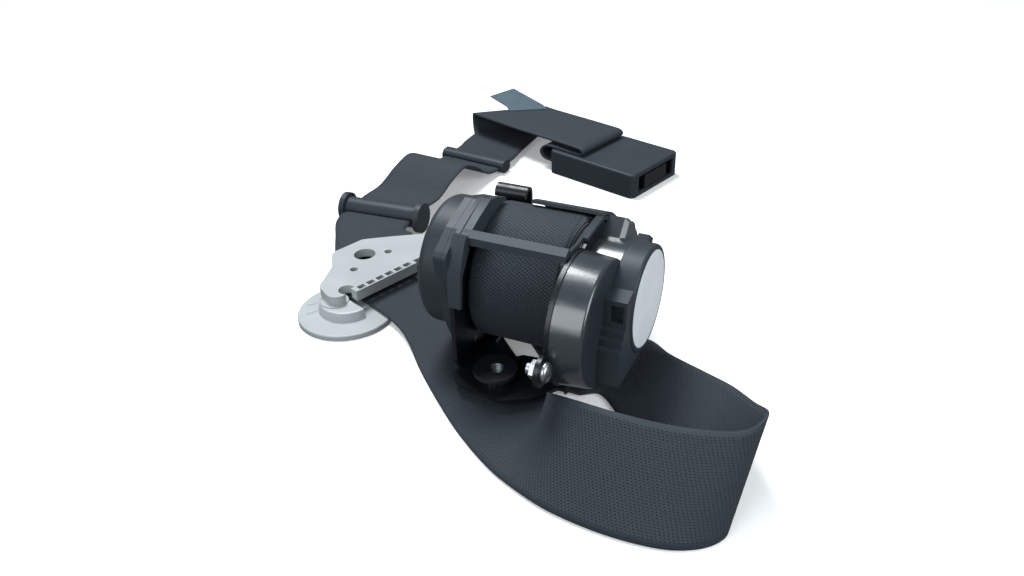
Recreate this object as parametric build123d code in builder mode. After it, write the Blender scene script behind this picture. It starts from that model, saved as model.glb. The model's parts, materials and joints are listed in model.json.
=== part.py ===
from build123d import *
import os
from math import atan2, cos, pi, radians, sin, sqrt, tan

# Three-point seat belt laid out on the bench: motor-driven retractor with its wound webbing, the free
# webbing in a loop on the floor, the pillar guide, the tongue, a keeper clip and the end connector.
# The origin is the centre of the top face of the threaded anchor bush, +X runs along the spool
# towards the drive side, +Y to the rear and +Z up.  All lengths are millimetres.

os.makedirs("parts", exist_ok=True)

# Place of the spool and of the floor, seen from the anchor bush
MID_X = 7.0                 # middle of the webbing on the spool
SPOOL_Y = 40.0
FLOOR_Z = -16.0
SPOOL_HEIGHT = 45.0         # spool axis above the floor

# Webbing
WEB_WIDTH = 47.0
WEB_T = 1.2
LAYER_GAP = 0.3             # free height between two loose layers
MOVE_GAP = 0.4              # clearance between parts that slide or turn past each other
FIT_GAP = 0.05              # radial clearance of a running fit

# Steel frame
SHEET_T = 2.0
FRAME_INSIDE = WEB_WIDTH + 4.0
BASE_UNDER = 7.0            # underside of the base above the floor
BASE_FRONT = -34.0
BASE_REAR = 29.0
WINDOW_LEFT = -21.0
WINDOW_RIGHT = 19.0
WINDOW_REAR = 15.0
EAR_R = 7.0
EAR_REACH = 36.0            # ear centre from the drum centre
EAR_ANGLE = 189.0
HOOK_WIDTH = 17.0
HOOK_LEFT = -38.0
HOOK_Y = 36.5
HOOK_TOP = 28.0

# Anchor bush
BUSH_BORE_R = 4.25
BUSH_FLANGE_R = 10.5
BUSH_FLANGE_T = 2.5
BUSH_BODY_R = 6.3
BUSH_SPIGOT_R = 5.6
BUSH_FLUTES = 18
BUSH_FLUTE_R = 0.5

# Spool and everything on its axis
CORE_R = 15.0
ROLL_R = 33.0
FLANGE_R = 31.0
FLANGE_T = 1.2
JOURNAL_R = 6.0
BEARING_R = 8.5
BEARING_LIP_R = 10.5
BEARING_LIP_T = 0.9
TORSION_R = 3.2
ARBOR_R = 5.0

# Locking side, on the left of the frame
LOCK_BASE_T = 2.5
RATCHET_T = 3.0
RATCHET_R = 15.0
RATCHET_TEETH = 14
TOOTH_DEPTH = 3.2
PAWL_T = 2.6
PAWL_PIN_R = 1.8
PAWL_Y = -24.0
PAWL_Z = 9.0
DIVIDER_T = 1.2
COVER_WALL = 2.0
COVER_DEPTH = 22.0
COVER_R = 32.0
LOCK_DEPTH = 10.0
SPRING_TURNS = 5
SPRING_STRIP = 0.5
SPRING_OUT_R = 27.0
SPRING_IN_R = 8.5

# Drive side, on the right of the frame
DRUM_TURN = 179.0           # way from the spool axis to the motor axis
DRUM_R = 30.5
DRUM_DRAFT = 5.0            # degrees
DRIVE_DEPTH = 14.5
DRIVE_WALL = 2.0
LOBE_R = 34.5               # rear gear cover round the spool axis
LOBE_DEPTH = 10.0
GEAR_MODULE = 1.0
SPOOL_TEETH = 42
PINION_TEETH = 14
GEAR_T = 5.0
STATOR_OUT_R = 20.6
STATOR_IN_R = 16.8
ROTOR_R = 16.2
CAP_R = 25.5
CAP_DEPTH = 11.0
CAP_WALL = 1.8
LABEL_R = 23.0
LABEL_T = 0.6
PLUG_FRONT = -38.5
PLUG_BOTTOM = 21.0          # above the floor

# Gas tensioner tube behind the roll
TUBE_R = 11.0
TUBE_Y = 46.0
TUBE_Z = 0.0
TUBE_LEFT = -14.0

# Fasteners
SCREW_HEAD_R = 2.8
SCREW_HEAD_T = 1.8
SCREW_R = 1.6
HARNESS_R = 2.5
HARNESS_HEAD_R = 4.6

# Pillar guide
RING_X, RING_Y = -103.0, 23.5
RING_HEADING = -20.0        # way of the webbing through it, degrees from +X
RING_SLOT = 58.0
RING_SLOT_H = 5.6
LIP_T = 3.0
LIP_R = 26.5
RING_PLATE_T = 5.0
BOLT_HOLE_R = 6.2
EYE_R = 4.6
RAIL_RIBS = 6

# Tongue
TONGUE_X, TONGUE_Y = -149.0, 89.0
TONGUE_HEADING = -86.0
GRIP_R = 7.0
GRIP_END_R = 9.5
GRIP_END_T = 3.5
GRIP_LENGTH = 56.0
TONGUE_SLOT_H = 3.0
BLADE_T = 2.6
BLADE_WIDTH = 24.0

# Keeper clip
CLIP_X, CLIP_Y = -137.0, 194.0
CLIP_LENGTH = 52.0
CLIP_R = 5.0

# End connector
BOX_X, BOX_Y = -41.0, 219.0
BOX_HEADING = -17.0
BOX_LENGTH = 72.0
BOX_WIDTH = 54.0
BOX_HEIGHT = 17.0
BOX_WALL = 1.8
BUTTON_TRAVEL = 3.0


def at(x, y, z):
    """Point from the spool's middle (x), the spool axis (y) and the floor (z)."""
    return Vector(MID_X + x, SPOOL_Y + y, FLOOR_Z + z)


def across(x):
    """Plane across the spool axis: its X is the rear, its Y is up, its normal is +X."""
    return Plane(origin=at(x, 0, SPOOL_HEIGHT), x_dir=(0, 1, 0), z_dir=(1, 0, 0))


def level(z, x=0.0, y=0.0, heading=0.0):
    """Level plane at a height over the floor, turned to a heading in degrees."""
    turn = radians(heading)
    return Plane(origin=at(x, y, z), x_dir=(cos(turn), sin(turn), 0), z_dir=(0, 0, 1))


def finish(part, name):
    part.label = name
    export_step(part, "parts/" + name + ".step")


def ribbon(stations):
    """Webbing of full width through pairs of edge points, right edge first, as straight spans."""
    lows = [Vector(*low) for low, high in stations]
    highs = [Vector(*high) for low, high in stations]
    middles = [(low + high) * 0.5 for low, high in zip(lows, highs)]
    with BuildPart() as strap:
        for i, middle in enumerate(middles):
            after = middles[min(i + 1, len(middles) - 1)]
            before = middles[max(i - 1, 0)]
            run = after - before
            side = (highs[i] - lows[i]).normalized()
            with BuildSketch(Plane(origin=at(*middle), x_dir=side, z_dir=run - side * run.dot(side))):
                Rectangle(WEB_WIDTH, WEB_T)
        loft(ruled=True)
    return strap.part


motor_reach = GEAR_MODULE * (SPOOL_TEETH + PINION_TEETH) / 2
DRUM_Y = motor_reach * cos(radians(DRUM_TURN))
DRUM_Z = motor_reach * sin(radians(DRUM_TURN))
PLATE_LEFT = -FRAME_INSIDE / 2 - SHEET_T        # outer face of the left side plate
PLATE_RIGHT = FRAME_INSIDE / 2 + SHEET_T
BUSH_X = -MID_X
BUSH_Y = -SPOOL_Y
BASE_TOP = BASE_UNDER + SHEET_T
BUSH_TOP = -FLOOR_Z
ear_y = DRUM_Y + EAR_REACH * cos(radians(EAR_ANGLE))
ear_z = DRUM_Z + EAR_REACH * sin(radians(EAR_ANGLE))
base_v = BASE_UNDER - SPOOL_HEIGHT              # underside of the base from the spool axis
COVER_SCREWS = [(-31.5, 22.5), (-24, -27.5), (24.5, -26), (-10, 35.5)]
drum_rim_r = DRUM_R - DRIVE_DEPTH * tan(radians(DRUM_DRAFT))
screw_reach = drum_rim_r - 4.6
DRIVE_SCREWS = []
for turn in (radians(140), radians(190), radians(240)):
    DRIVE_SCREWS.append((DRUM_Y + screw_reach * cos(turn), DRUM_Z + screw_reach * sin(turn)))

# Frame: base with a tongue for the bush and a window, two side plates, an ear and a locating hook
LEFT_PLATE_TOP = [(-40, 17), (-30, 30), (-22, 35), (-10, 39), (-4, 37.5), (8, 30), (24, 22)]
RIGHT_PLATE_TOP = [(-31, 22), (-20, 28.5), (-14, 30.5), (8, 31.2), (24, 20), (32, 14)]
with BuildPart() as frame:
    with BuildSketch(level(BASE_UNDER)):
        with BuildLine():
            FilletPolyline(
                (PLATE_LEFT, BASE_REAR), (PLATE_LEFT, BASE_FRONT - 3), (-28, -44), (-22, -49.5),
                (2, -53), (14, -46), (22, BASE_FRONT), (PLATE_RIGHT, BASE_FRONT),
                (PLATE_RIGHT, BASE_REAR), radius=1.5, close=True)
        make_face()
        with Locations((BUSH_X, BUSH_Y)):
            Circle(BUSH_SPIGOT_R, mode=Mode.SUBTRACT)
    extrude(amount=SHEET_T)
    with BuildSketch(level(BASE_UNDER)):
        with BuildLine():
            FilletPolyline(
                (WINDOW_LEFT, WINDOW_REAR), (WINDOW_LEFT, -12), (-15, -17), (-9, -17), (-6.5, -20),
                (-3.5, -17), (7, -16), (WINDOW_RIGHT, -12), (WINDOW_RIGHT, WINDOW_REAR),
                radius=1.0, close=True)
        make_face()
    extrude(amount=SHEET_T, mode=Mode.SUBTRACT)
    with BuildSketch(across(PLATE_LEFT)):
        with BuildLine():
            FilletPolyline(
                (BASE_REAR, base_v), (BASE_FRONT - 3, base_v), (-43, base_v + 9), (-42.5, 0),
                *LEFT_PLATE_TOP, (HOOK_Y, 11), (HOOK_Y, -4), radius=3.0, close=True)
        make_face()
        Circle(BEARING_R, mode=Mode.SUBTRACT)
        with Locations(*COVER_SCREWS):
            Circle(SCREW_R, mode=Mode.SUBTRACT)
        with Locations((PAWL_Y, PAWL_Z)):
            Circle(PAWL_PIN_R, mode=Mode.SUBTRACT)
    extrude(amount=SHEET_T)
    with BuildSketch(across(PLATE_RIGHT - SHEET_T)):
        with BuildLine():
            FilletPolyline(
                (BASE_REAR, base_v), (BASE_FRONT, base_v), (-36, 0), *RIGHT_PLATE_TOP,
                (TUBE_Y, TUBE_Z + TUBE_R), (TUBE_Y, TUBE_Z - TUBE_R), radius=3.0, close=True)
        make_face()
        with Locations((TUBE_Y, TUBE_Z)):
            Circle(TUBE_R + 0.5)
        with Locations((DRUM_Y, DRUM_Z)):
            Circle(DRUM_R + 0.7)
        with Locations((ear_y, ear_z)):
            Circle(EAR_R)
        with Locations((ear_y, ear_z)):
            Circle(HARNESS_R, mode=Mode.SUBTRACT)
        with Locations(*DRIVE_SCREWS):
            Circle(SCREW_R, mode=Mode.SUBTRACT)
        Circle(BEARING_R, mode=Mode.SUBTRACT)
    extrude(amount=SHEET_T)
    with BuildSketch(across(HOOK_LEFT)):
        with BuildLine() as hook_line:
            Line((HOOK_Y - 1, 4), (HOOK_Y - 1, HOOK_TOP - 4))
            ThreePointArc((HOOK_Y - 1, HOOK_TOP - 4), (HOOK_Y - 4.5, HOOK_TOP), (HOOK_Y - 8, HOOK_TOP - 4))
        trace(line_width=SHEET_T)
    extrude(amount=HOOK_WIDTH)
finish(frame.part, "frame")

# Anchor bush riveted into the base, with the thread for the body bolt
with BuildPart() as anchor_bush:
    with BuildSketch(level(BUSH_TOP - BUSH_FLANGE_T, BUSH_X, BUSH_Y)):
        Circle(BUSH_FLANGE_R)
    extrude(amount=BUSH_FLANGE_T)
    fillet(anchor_bush.edges().group_by(Axis.Z)[0], 0.6)
    with BuildSketch(level(BASE_TOP, BUSH_X, BUSH_Y)):
        Circle(BUSH_BODY_R)
        with PolarLocations(BUSH_BODY_R, BUSH_FLUTES):
            Circle(BUSH_FLUTE_R, mode=Mode.SUBTRACT)
    extrude(amount=BUSH_TOP - BUSH_FLANGE_T - BASE_TOP)
    with BuildSketch(level(BASE_UNDER, BUSH_X, BUSH_Y)):
        Circle(BUSH_SPIGOT_R)
    extrude(amount=SHEET_T)
    with BuildSketch(level(BASE_UNDER, BUSH_X, BUSH_Y)):
        Circle(BUSH_BORE_R)
    extrude(amount=BUSH_TOP - BASE_UNDER, mode=Mode.SUBTRACT)
finish(anchor_bush.part, "anchor_bush")

# Spool core with its flanges and journals, bored for the torsion bar and the webbing pin
CORE_END = WEB_WIDTH / 2 + 0.2
FLANGE_END = CORE_END + FLANGE_T
GEAR_LEFT = PLATE_RIGHT + BEARING_LIP_T + 0.6
GEAR_RIGHT = GEAR_LEFT + GEAR_T
RATCHET_RIGHT = PLATE_LEFT - LOCK_BASE_T - MOVE_GAP
RATCHET_LEFT = RATCHET_RIGHT - RATCHET_T
PIN_R = 1.8
PIN_V = 10.5
BAR_HEAD = 5.0
BAR_LEFT = -20.0
with BuildPart() as spool:
    with BuildSketch(across(-CORE_END)):
        Circle(CORE_R)
    extrude(amount=2 * CORE_END)
    for side_x in (-FLANGE_END, CORE_END):
        with BuildSketch(across(side_x)):
            Circle(FLANGE_R)
        extrude(amount=FLANGE_T)
    with BuildSketch(across(RATCHET_LEFT)):
        Circle(JOURNAL_R)
    extrude(amount=GEAR_RIGHT + 0.3 - RATCHET_LEFT)
    with BuildSketch(across(BAR_LEFT)):
        Circle(TORSION_R + 0.4)
    extrude(amount=GEAR_RIGHT + 0.3 - BAR_LEFT, mode=Mode.SUBTRACT)
    with BuildSketch(across(-CORE_END)):
        with Locations((0, PIN_V)):
            Circle(PIN_R)
    extrude(amount=2 * CORE_END, mode=Mode.SUBTRACT)
    with BuildSketch(across(-CORE_END)):
        with Locations((0, PIN_V + 3)):
            Rectangle(WEB_T + 0.4, 6.4)
    extrude(amount=2 * CORE_END, mode=Mode.SUBTRACT)
finish(spool.part, "spool")

with BuildPart() as torsion_bar:
    with BuildSketch(across(BAR_LEFT)):
        Circle(TORSION_R)
    extrude(amount=GEAR_RIGHT + 0.3 - BAR_LEFT)
    for side_x in (BAR_LEFT, GEAR_RIGHT + 0.3 - BAR_HEAD):
        with BuildSketch(across(side_x)):
            Circle(TORSION_R + 0.4)
        extrude(amount=BAR_HEAD)
finish(torsion_bar.part, "torsion_bar")

with BuildPart() as webbing_pin:
    with BuildSketch(across(-WEB_WIDTH / 2)):
        with Locations((0, PIN_V)):
            Circle(PIN_R)
    extrude(amount=WEB_WIDTH)
finish(webbing_pin.part, "webbing_pin")

with BuildPart() as webbing_roll:
    with BuildSketch(across(-WEB_WIDTH / 2)):
        Circle(ROLL_R)
        Circle(CORE_R, mode=Mode.SUBTRACT)
    extrude(amount=WEB_WIDTH)
finish(webbing_roll.part, "webbing_roll")

# Plastic bushes that carry the journals in the side plates
with BuildPart() as spool_bushes:
    for side_x, lip_x in ((PLATE_LEFT, PLATE_LEFT - BEARING_LIP_T), (PLATE_RIGHT - SHEET_T, PLATE_RIGHT)):
        with BuildSketch(across(side_x)):
            Circle(BEARING_R)
            Circle(JOURNAL_R + FIT_GAP, mode=Mode.SUBTRACT)
        extrude(amount=SHEET_T)
        with BuildSketch(across(lip_x)):
            Circle(BEARING_LIP_R)
            Circle(JOURNAL_R + FIT_GAP, mode=Mode.SUBTRACT)
        extrude(amount=BEARING_LIP_T)
finish(spool_bushes.part, "spool_bushes")

# Locking side: base plate, toothed wheel on the journal, pawl with its pin, car sensor
LOCK_BASE_LEFT = PLATE_LEFT - LOCK_BASE_T
LOCK_OUTLINE = [(-10, 41), (-30, 35), (-44, 27), (-38, -10), (-28, -32), (0, -34),
                (28, -30), (33.5, -8), (33.5, 10), (24, 24), (8, 34)]
with BuildPart() as lock_base:
    with BuildSketch(across(LOCK_BASE_LEFT)):
        with BuildLine():
            FilletPolyline(*LOCK_OUTLINE, radius=4.0, close=True)
        make_face()
        Circle(BEARING_LIP_R + 0.5, mode=Mode.SUBTRACT)
        with Locations((PAWL_Y, PAWL_Z)):
            Circle(PAWL_PIN_R, mode=Mode.SUBTRACT)
        with Locations(*COVER_SCREWS):
            Circle(SCREW_R, mode=Mode.SUBTRACT)
    extrude(amount=LOCK_BASE_T)
finish(lock_base.part, "lock_base")

pawl_reach = sqrt(PAWL_Y**2 + PAWL_Z**2)
tip_r = RATCHET_R + 0.8
tip_turn = atan2(PAWL_Z, PAWL_Y) + atan2(sqrt(pawl_reach**2 - tip_r**2), tip_r)
tip_y = tip_r * cos(tip_turn)
tip_z = tip_r * sin(tip_turn)
tooth_step = 2 * pi / RATCHET_TEETH
first_tooth = tip_turn - 0.89 * tooth_step
root_r = RATCHET_R - TOOTH_DEPTH
with BuildPart() as ratchet_wheel:
    with BuildSketch(across(RATCHET_LEFT)):
        with BuildLine():
            teeth = []
            for k in range(RATCHET_TEETH):
                crest = first_tooth + k * tooth_step
                root = crest + 0.08 * tooth_step
                teeth.append((root_r * cos(root), root_r * sin(root)))
                teeth.append((RATCHET_R * cos(crest), RATCHET_R * sin(crest)))
            Polyline(*teeth, close=True)
        make_face()
        Circle(JOURNAL_R, mode=Mode.SUBTRACT)
    extrude(amount=RATCHET_T)
finish(ratchet_wheel.part, "ratchet_wheel")

PAWL_EYE_R = 3.8
PAWL_LEFT = RATCHET_RIGHT - PAWL_T
with BuildPart() as locking_pawl:
    with BuildSketch(across(PAWL_LEFT)):
        with Locations((PAWL_Y, PAWL_Z)):
            Circle(PAWL_EYE_R)
        with BuildLine():
            Polyline(
                (PAWL_Y + 2.6, PAWL_Z - 1), (tip_y - 2.2, tip_z + 4.2), (tip_y, tip_z + 0.2),
                (tip_y - 0.9, tip_z - 0.9), (tip_y - 4.0, tip_z + 1.8), (PAWL_Y - 3.4, PAWL_Z - 1),
                close=True)
        make_face()
        with Locations((PAWL_Y, PAWL_Z)):
            Circle(PAWL_PIN_R + FIT_GAP, mode=Mode.SUBTRACT)
    extrude(amount=PAWL_T)
finish(locking_pawl.part, "locking_pawl")

with BuildPart() as pawl_pin:
    with BuildSketch(across(PAWL_LEFT - MOVE_GAP)):
        with Locations((PAWL_Y, PAWL_Z)):
            Circle(PAWL_PIN_R)
    extrude(amount=PLATE_LEFT - PAWL_LEFT + MOVE_GAP)
    with BuildSketch(across(PAWL_LEFT - MOVE_GAP - 1.0)):
        with Locations((PAWL_Y, PAWL_Z)):
            Circle(PAWL_PIN_R + 1.2)
    extrude(amount=1.0)
finish(pawl_pin.part, "pawl_pin")

BALL_R = 2.5
BALL_Y = -12.0
BALL_V = -20.5
SENSOR_LEFT = -38.5
SENSOR_RIGHT = LOCK_BASE_LEFT
sensor_middle = (SENSOR_LEFT + SENSOR_RIGHT) / 2
LEVER_PIVOT_Y = -20.5
LEVER_PIVOT_V = -16.0
LEVER_PIN_R = 0.9
SENSOR_WEB = 0.8
CUP_HALF = 4.2
CUP_DEEP = 3.9
with BuildPart() as sensor_housing:
    with BuildSketch(across(SENSOR_LEFT)):
        with BuildLine():
            Polyline(
                (BALL_Y - CUP_HALF, BALL_V - CUP_DEEP), (BALL_Y + CUP_HALF, BALL_V - CUP_DEEP),
                (BALL_Y + CUP_HALF, BALL_V - 0.4), (BALL_Y + BALL_R + 0.4, BALL_V - BALL_R - 0.2),
                (BALL_Y - BALL_R - 0.4, BALL_V - BALL_R - 0.2), (BALL_Y - CUP_HALF, BALL_V - 0.4),
                close=True)
        make_face()
    extrude(amount=SENSOR_RIGHT - SENSOR_LEFT)
    with BuildSketch(across(SENSOR_RIGHT - SENSOR_WEB)):
        with BuildLine():
            Polyline(
                (BALL_Y - CUP_HALF, BALL_V - 3), (BALL_Y + 2, BALL_V - 3),
                (LEVER_PIVOT_Y + 3, LEVER_PIVOT_V + 2), (LEVER_PIVOT_Y - 2, LEVER_PIVOT_V + 2),
                (LEVER_PIVOT_Y - 2, LEVER_PIVOT_V - 2), close=True)
        make_face()
    extrude(amount=SENSOR_WEB)
    with BuildSketch(across(SENSOR_LEFT)):
        with Locations((LEVER_PIVOT_Y, LEVER_PIVOT_V)):
            Circle(LEVER_PIN_R)
    extrude(amount=SENSOR_RIGHT - SENSOR_LEFT)
finish(sensor_housing.part, "sensor_housing")

with BuildPart() as sensor_ball:
    with Locations(at(sensor_middle, BALL_Y, SPOOL_HEIGHT + BALL_V)):
        Sphere(BALL_R)
finish(sensor_ball.part, "sensor_ball")

LEVER_T = 1.2
with BuildPart() as sensor_lever:
    with BuildSketch(across(SENSOR_LEFT + 1.0)):
        with Locations((LEVER_PIVOT_Y, LEVER_PIVOT_V)):
            Circle(LEVER_PIN_R + 1.2)
        with BuildLine():
            Polyline(
                (LEVER_PIVOT_Y, LEVER_PIVOT_V + 1), (BALL_Y + 3, BALL_V + BALL_R + 0.5 + LEVER_T),
                (BALL_Y + 3, BALL_V + BALL_R + 0.5), (LEVER_PIVOT_Y + 1, BALL_V + BALL_R + 0.5),
                (LEVER_PIVOT_Y, LEVER_PIVOT_V - 1.5), close=True)
        make_face()
        with Locations((LEVER_PIVOT_Y, LEVER_PIVOT_V)):
            Circle(LEVER_PIN_R + FIT_GAP, mode=Mode.SUBTRACT)
    extrude(amount=SENSOR_RIGHT - SENSOR_LEFT - 1.0 - SENSOR_WEB - MOVE_GAP)
finish(sensor_lever.part, "sensor_lever")

# Spring side: divider, bowl, coiled mainspring and the arbor that it drives
COVER_RIGHT = LOCK_BASE_LEFT
COVER_LEFT = COVER_RIGHT - COVER_DEPTH
DIVIDER_RIGHT = COVER_RIGHT - LOCK_DEPTH
DIVIDER_LEFT = DIVIDER_RIGHT - DIVIDER_T
COVER_RIM = 4.0
with BuildPart() as spring_cover:
    with BuildSketch(across(COVER_RIGHT - COVER_RIM)):
        with BuildLine():
            FilletPolyline(*LOCK_OUTLINE, radius=4.0, close=True)
        make_face()
        with Locations(*COVER_SCREWS):
            Circle(SCREW_R, mode=Mode.SUBTRACT)
    extrude(amount=COVER_RIM)
    with BuildSketch(across(COVER_LEFT)):
        Circle(COVER_R)
    extrude(amount=COVER_DEPTH)
    fillet(spring_cover.edges().group_by(Axis.X)[0], 4.0)
    with BuildSketch(across(COVER_LEFT + COVER_WALL)):
        Circle(COVER_R - COVER_WALL)
    extrude(amount=COVER_DEPTH - COVER_WALL, mode=Mode.SUBTRACT)
finish(spring_cover.part, "spring_cover")

with BuildPart() as spring_divider:
    with BuildSketch(across(DIVIDER_LEFT)):
        Circle(COVER_R - COVER_WALL)
        Circle(ARBOR_R + 1.0, mode=Mode.SUBTRACT)
    extrude(amount=DIVIDER_T)
finish(spring_divider.part, "spring_divider")

ARBOR_END = COVER_LEFT + COVER_WALL + MOVE_GAP
with BuildPart() as spring_arbor:
    with BuildSketch(across(ARBOR_END)):
        Circle(ARBOR_R)
    extrude(amount=RATCHET_LEFT - ARBOR_END)
    with BuildSketch(across(ARBOR_END)):
        Circle(SPRING_IN_R - 1.2)
        with Locations((SPRING_IN_R - 1.2, 0)):
            Rectangle(2.0, 1.2, mode=Mode.SUBTRACT)
    extrude(amount=DIVIDER_LEFT - MOVE_GAP - ARBOR_END)
finish(spring_arbor.part, "spring_arbor")

coil_pitch = (SPRING_OUT_R - SPRING_IN_R) / SPRING_TURNS
with BuildPart() as mainspring:
    with BuildSketch(across(ARBOR_END + 0.4)):
        for k in range(2 * SPRING_TURNS):
            coil_r = SPRING_IN_R + coil_pitch * (k + 0.5) / 2
            shift = coil_pitch / 4 if k % 2 else -coil_pitch / 4
            upward = 1 if k % 2 == 0 else -1
            with BuildLine(mode=Mode.PRIVATE) as half_turn:
                CenterArc((shift, 0), coil_r, 0, 180 * upward)
            trace(half_turn.line, line_width=SPRING_STRIP)
    extrude(amount=DIVIDER_LEFT - MOVE_GAP - ARBOR_END - 0.8)
finish(mainspring.part, "mainspring")

# Drive side: moulded drum housing, flat motor, its pinion and the gear on the spool
DRIVE_RIGHT = PLATE_RIGHT + DRIVE_DEPTH
MOTOR_RIGHT = DRIVE_RIGHT - DRIVE_WALL
SHAFT_R = 2.0
SHAFT_SEAT = 1.3
SCREW_DEEP = 8.0
GEAR_POCKET_R = CAP_R - DRIVE_WALL


def gear_outline(teeth, first_turn):
    """Corner points of a gear with straight-flanked teeth, the first tooth at first_turn (radians)."""
    pitch_r = GEAR_MODULE * teeth / 2
    tip = pitch_r + 0.75 * GEAR_MODULE
    root = pitch_r - 1.1 * GEAR_MODULE
    step = 2 * pi / teeth
    points = []
    for k in range(teeth):
        middle = first_turn + k * step
        for radius, share in ((root, -0.33), (tip, -0.10), (tip, 0.10), (root, 0.33)):
            points.append((radius * cos(middle + share * step), radius * sin(middle + share * step)))
    return points


with BuildPart() as drive_housing:
    with BuildSketch(across(PLATE_RIGHT)):
        with Locations((DRUM_Y, DRUM_Z)):
            Circle(DRUM_R)
    extrude(amount=DRIVE_DEPTH, taper=DRUM_DRAFT)
    fillet(drive_housing.edges().group_by(Axis.X)[-1], 1.5)
    with BuildSketch(across(PLATE_RIGHT)):
        with BuildLine():
            ThreePointArc((14, sqrt(LOBE_R**2 - 14**2)), (LOBE_R, 0), (20, -sqrt(LOBE_R**2 - 20**2)))
            Polyline(
                (20, -sqrt(LOBE_R**2 - 20**2)), (4, -CAP_R + 2), (4, CAP_R - 3),
                (14, sqrt(LOBE_R**2 - 14**2)))
        make_face()
    extrude(amount=LOBE_DEPTH)
    chamfer(drive_housing.edges().filter_by_position(
        Axis.X, MID_X + PLATE_RIGHT + LOBE_DEPTH - 0.1, MID_X + PLATE_RIGHT + LOBE_DEPTH + 0.1), 2.0)
    with BuildSketch(across(PLATE_RIGHT)):
        Circle(CAP_R)
    extrude(amount=DRIVE_DEPTH)
    with BuildSketch(across(PLATE_RIGHT)):
        with Locations((DRUM_Y, DRUM_Z)):
            Circle(drum_rim_r - DRIVE_WALL)
        Circle(GEAR_POCKET_R)
    extrude(amount=DRIVE_DEPTH - DRIVE_WALL, mode=Mode.SUBTRACT)
    with BuildSketch(across(PLATE_RIGHT)):
        Circle(LOBE_R - DRIVE_WALL)
        Circle(CAP_R, mode=Mode.SUBTRACT)
        with Locations((14, 0)):
            Rectangle(2 * LOBE_R, 3 * LOBE_R, align=(Align.MAX, Align.CENTER), mode=Mode.SUBTRACT)
    extrude(amount=LOBE_DEPTH - DRIVE_WALL - 1.0, mode=Mode.SUBTRACT)
    with BuildSketch(across(PLATE_RIGHT)):
        with Locations(*DRIVE_SCREWS):
            Circle(SCREW_R + 1.6)
    extrude(amount=DRIVE_DEPTH - DRIVE_WALL)
    with BuildSketch(across(PLATE_RIGHT)):
        with Locations(*DRIVE_SCREWS):
            Circle(SCREW_R)
    extrude(amount=SCREW_DEEP, mode=Mode.SUBTRACT)
    with BuildSketch(across(MOTOR_RIGHT)):
        with Locations((DRUM_Y, DRUM_Z)):
            Circle(SHAFT_R + FIT_GAP)
    extrude(amount=SHAFT_SEAT, mode=Mode.SUBTRACT)
finish(drive_housing.part, "drive_housing")

with BuildPart() as spool_gear:
    with BuildSketch(across(GEAR_LEFT)):
        with BuildLine():
            Polyline(*gear_outline(SPOOL_TEETH, radians(DRUM_TURN)), close=True)
        make_face()
        Circle(JOURNAL_R, mode=Mode.SUBTRACT)
    extrude(amount=GEAR_T)
finish(spool_gear.part, "spool_gear")

PINION_TURN = radians(DRUM_TURN + 180.0) + pi / PINION_TEETH
MOTOR_LEFT = GEAR_RIGHT + 0.3 + MOVE_GAP
with BuildPart() as motor_rotor:
    with BuildSketch(across(MOTOR_LEFT)):
        with Locations((DRUM_Y, DRUM_Z)):
            Circle(ROTOR_R)
            with PolarLocations(ROTOR_R - 5, 8):
                Circle(2.6, mode=Mode.SUBTRACT)
    extrude(amount=MOTOR_RIGHT - MOVE_GAP - MOTOR_LEFT)
    with BuildSketch(across(PLATE_RIGHT + MOVE_GAP)):
        with Locations((DRUM_Y, DRUM_Z)):
            Circle(SHAFT_R)
    extrude(amount=MOTOR_RIGHT + SHAFT_SEAT - MOVE_GAP - PLATE_RIGHT - MOVE_GAP)
finish(motor_rotor.part, "motor_rotor")

with BuildPart() as motor_pinion:
    with BuildSketch(across(GEAR_LEFT)):
        with BuildLine():
            Polyline(
                *[(DRUM_Y + u, DRUM_Z + v) for u, v in gear_outline(PINION_TEETH, PINION_TURN)],
                close=True)
        make_face()
        with Locations((DRUM_Y, DRUM_Z)):
            Circle(SHAFT_R, mode=Mode.SUBTRACT)
    extrude(amount=GEAR_T)
finish(motor_pinion.part, "motor_pinion")

with BuildPart() as motor_stator:
    with BuildSketch(across(MOTOR_LEFT)):
        with Locations((DRUM_Y, DRUM_Z)):
            Circle(STATOR_OUT_R)
            Circle(STATOR_IN_R, mode=Mode.SUBTRACT)
            with PolarLocations(STATOR_IN_R, 9):
                Rectangle(3.0, 2.4, mode=Mode.SUBTRACT)
    extrude(amount=MOTOR_RIGHT - MOTOR_LEFT)
finish(motor_stator.part, "motor_stator")

# Control cover with its connector, circuit board and the bare label plate
CAP_RIGHT = DRIVE_RIGHT + CAP_DEPTH
BOARD_T = 1.6
BOARD_LENGTH = 34.0
BOARD_WIDTH = 30.0
BOARD_LEFT = DRIVE_RIGHT + 4.0
CHIP_T = 2.2
POST_R = 2.0
POST_REACH = 15.0
LUG_TURN = 52.0
with BuildPart() as control_cover:
    with BuildSketch(across(DRIVE_RIGHT)):
        Circle(CAP_R)
    extrude(amount=CAP_DEPTH)
    fillet(control_cover.edges().group_by(Axis.X)[-1], 1.5)
    with BuildSketch(across(DRIVE_RIGHT)):
        with PolarLocations(CAP_R, 1, start_angle=LUG_TURN):
            Rectangle(6.0, 8.0)
    extrude(amount=CAP_DEPTH / 2)
    with BuildSketch(across(DRIVE_RIGHT)):
        Circle(CAP_R - CAP_WALL)
    extrude(amount=CAP_DEPTH - CAP_WALL, mode=Mode.SUBTRACT)
    with BuildSketch(across(BOARD_LEFT + BOARD_T)):
        with PolarLocations(POST_REACH, 4):
            Circle(POST_R)
    extrude(amount=CAP_RIGHT - CAP_WALL - BOARD_LEFT - BOARD_T)
    with BuildSketch(across(CAP_RIGHT - LABEL_T)):
        Circle(LABEL_R)
    extrude(amount=LABEL_T, mode=Mode.SUBTRACT)
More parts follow.
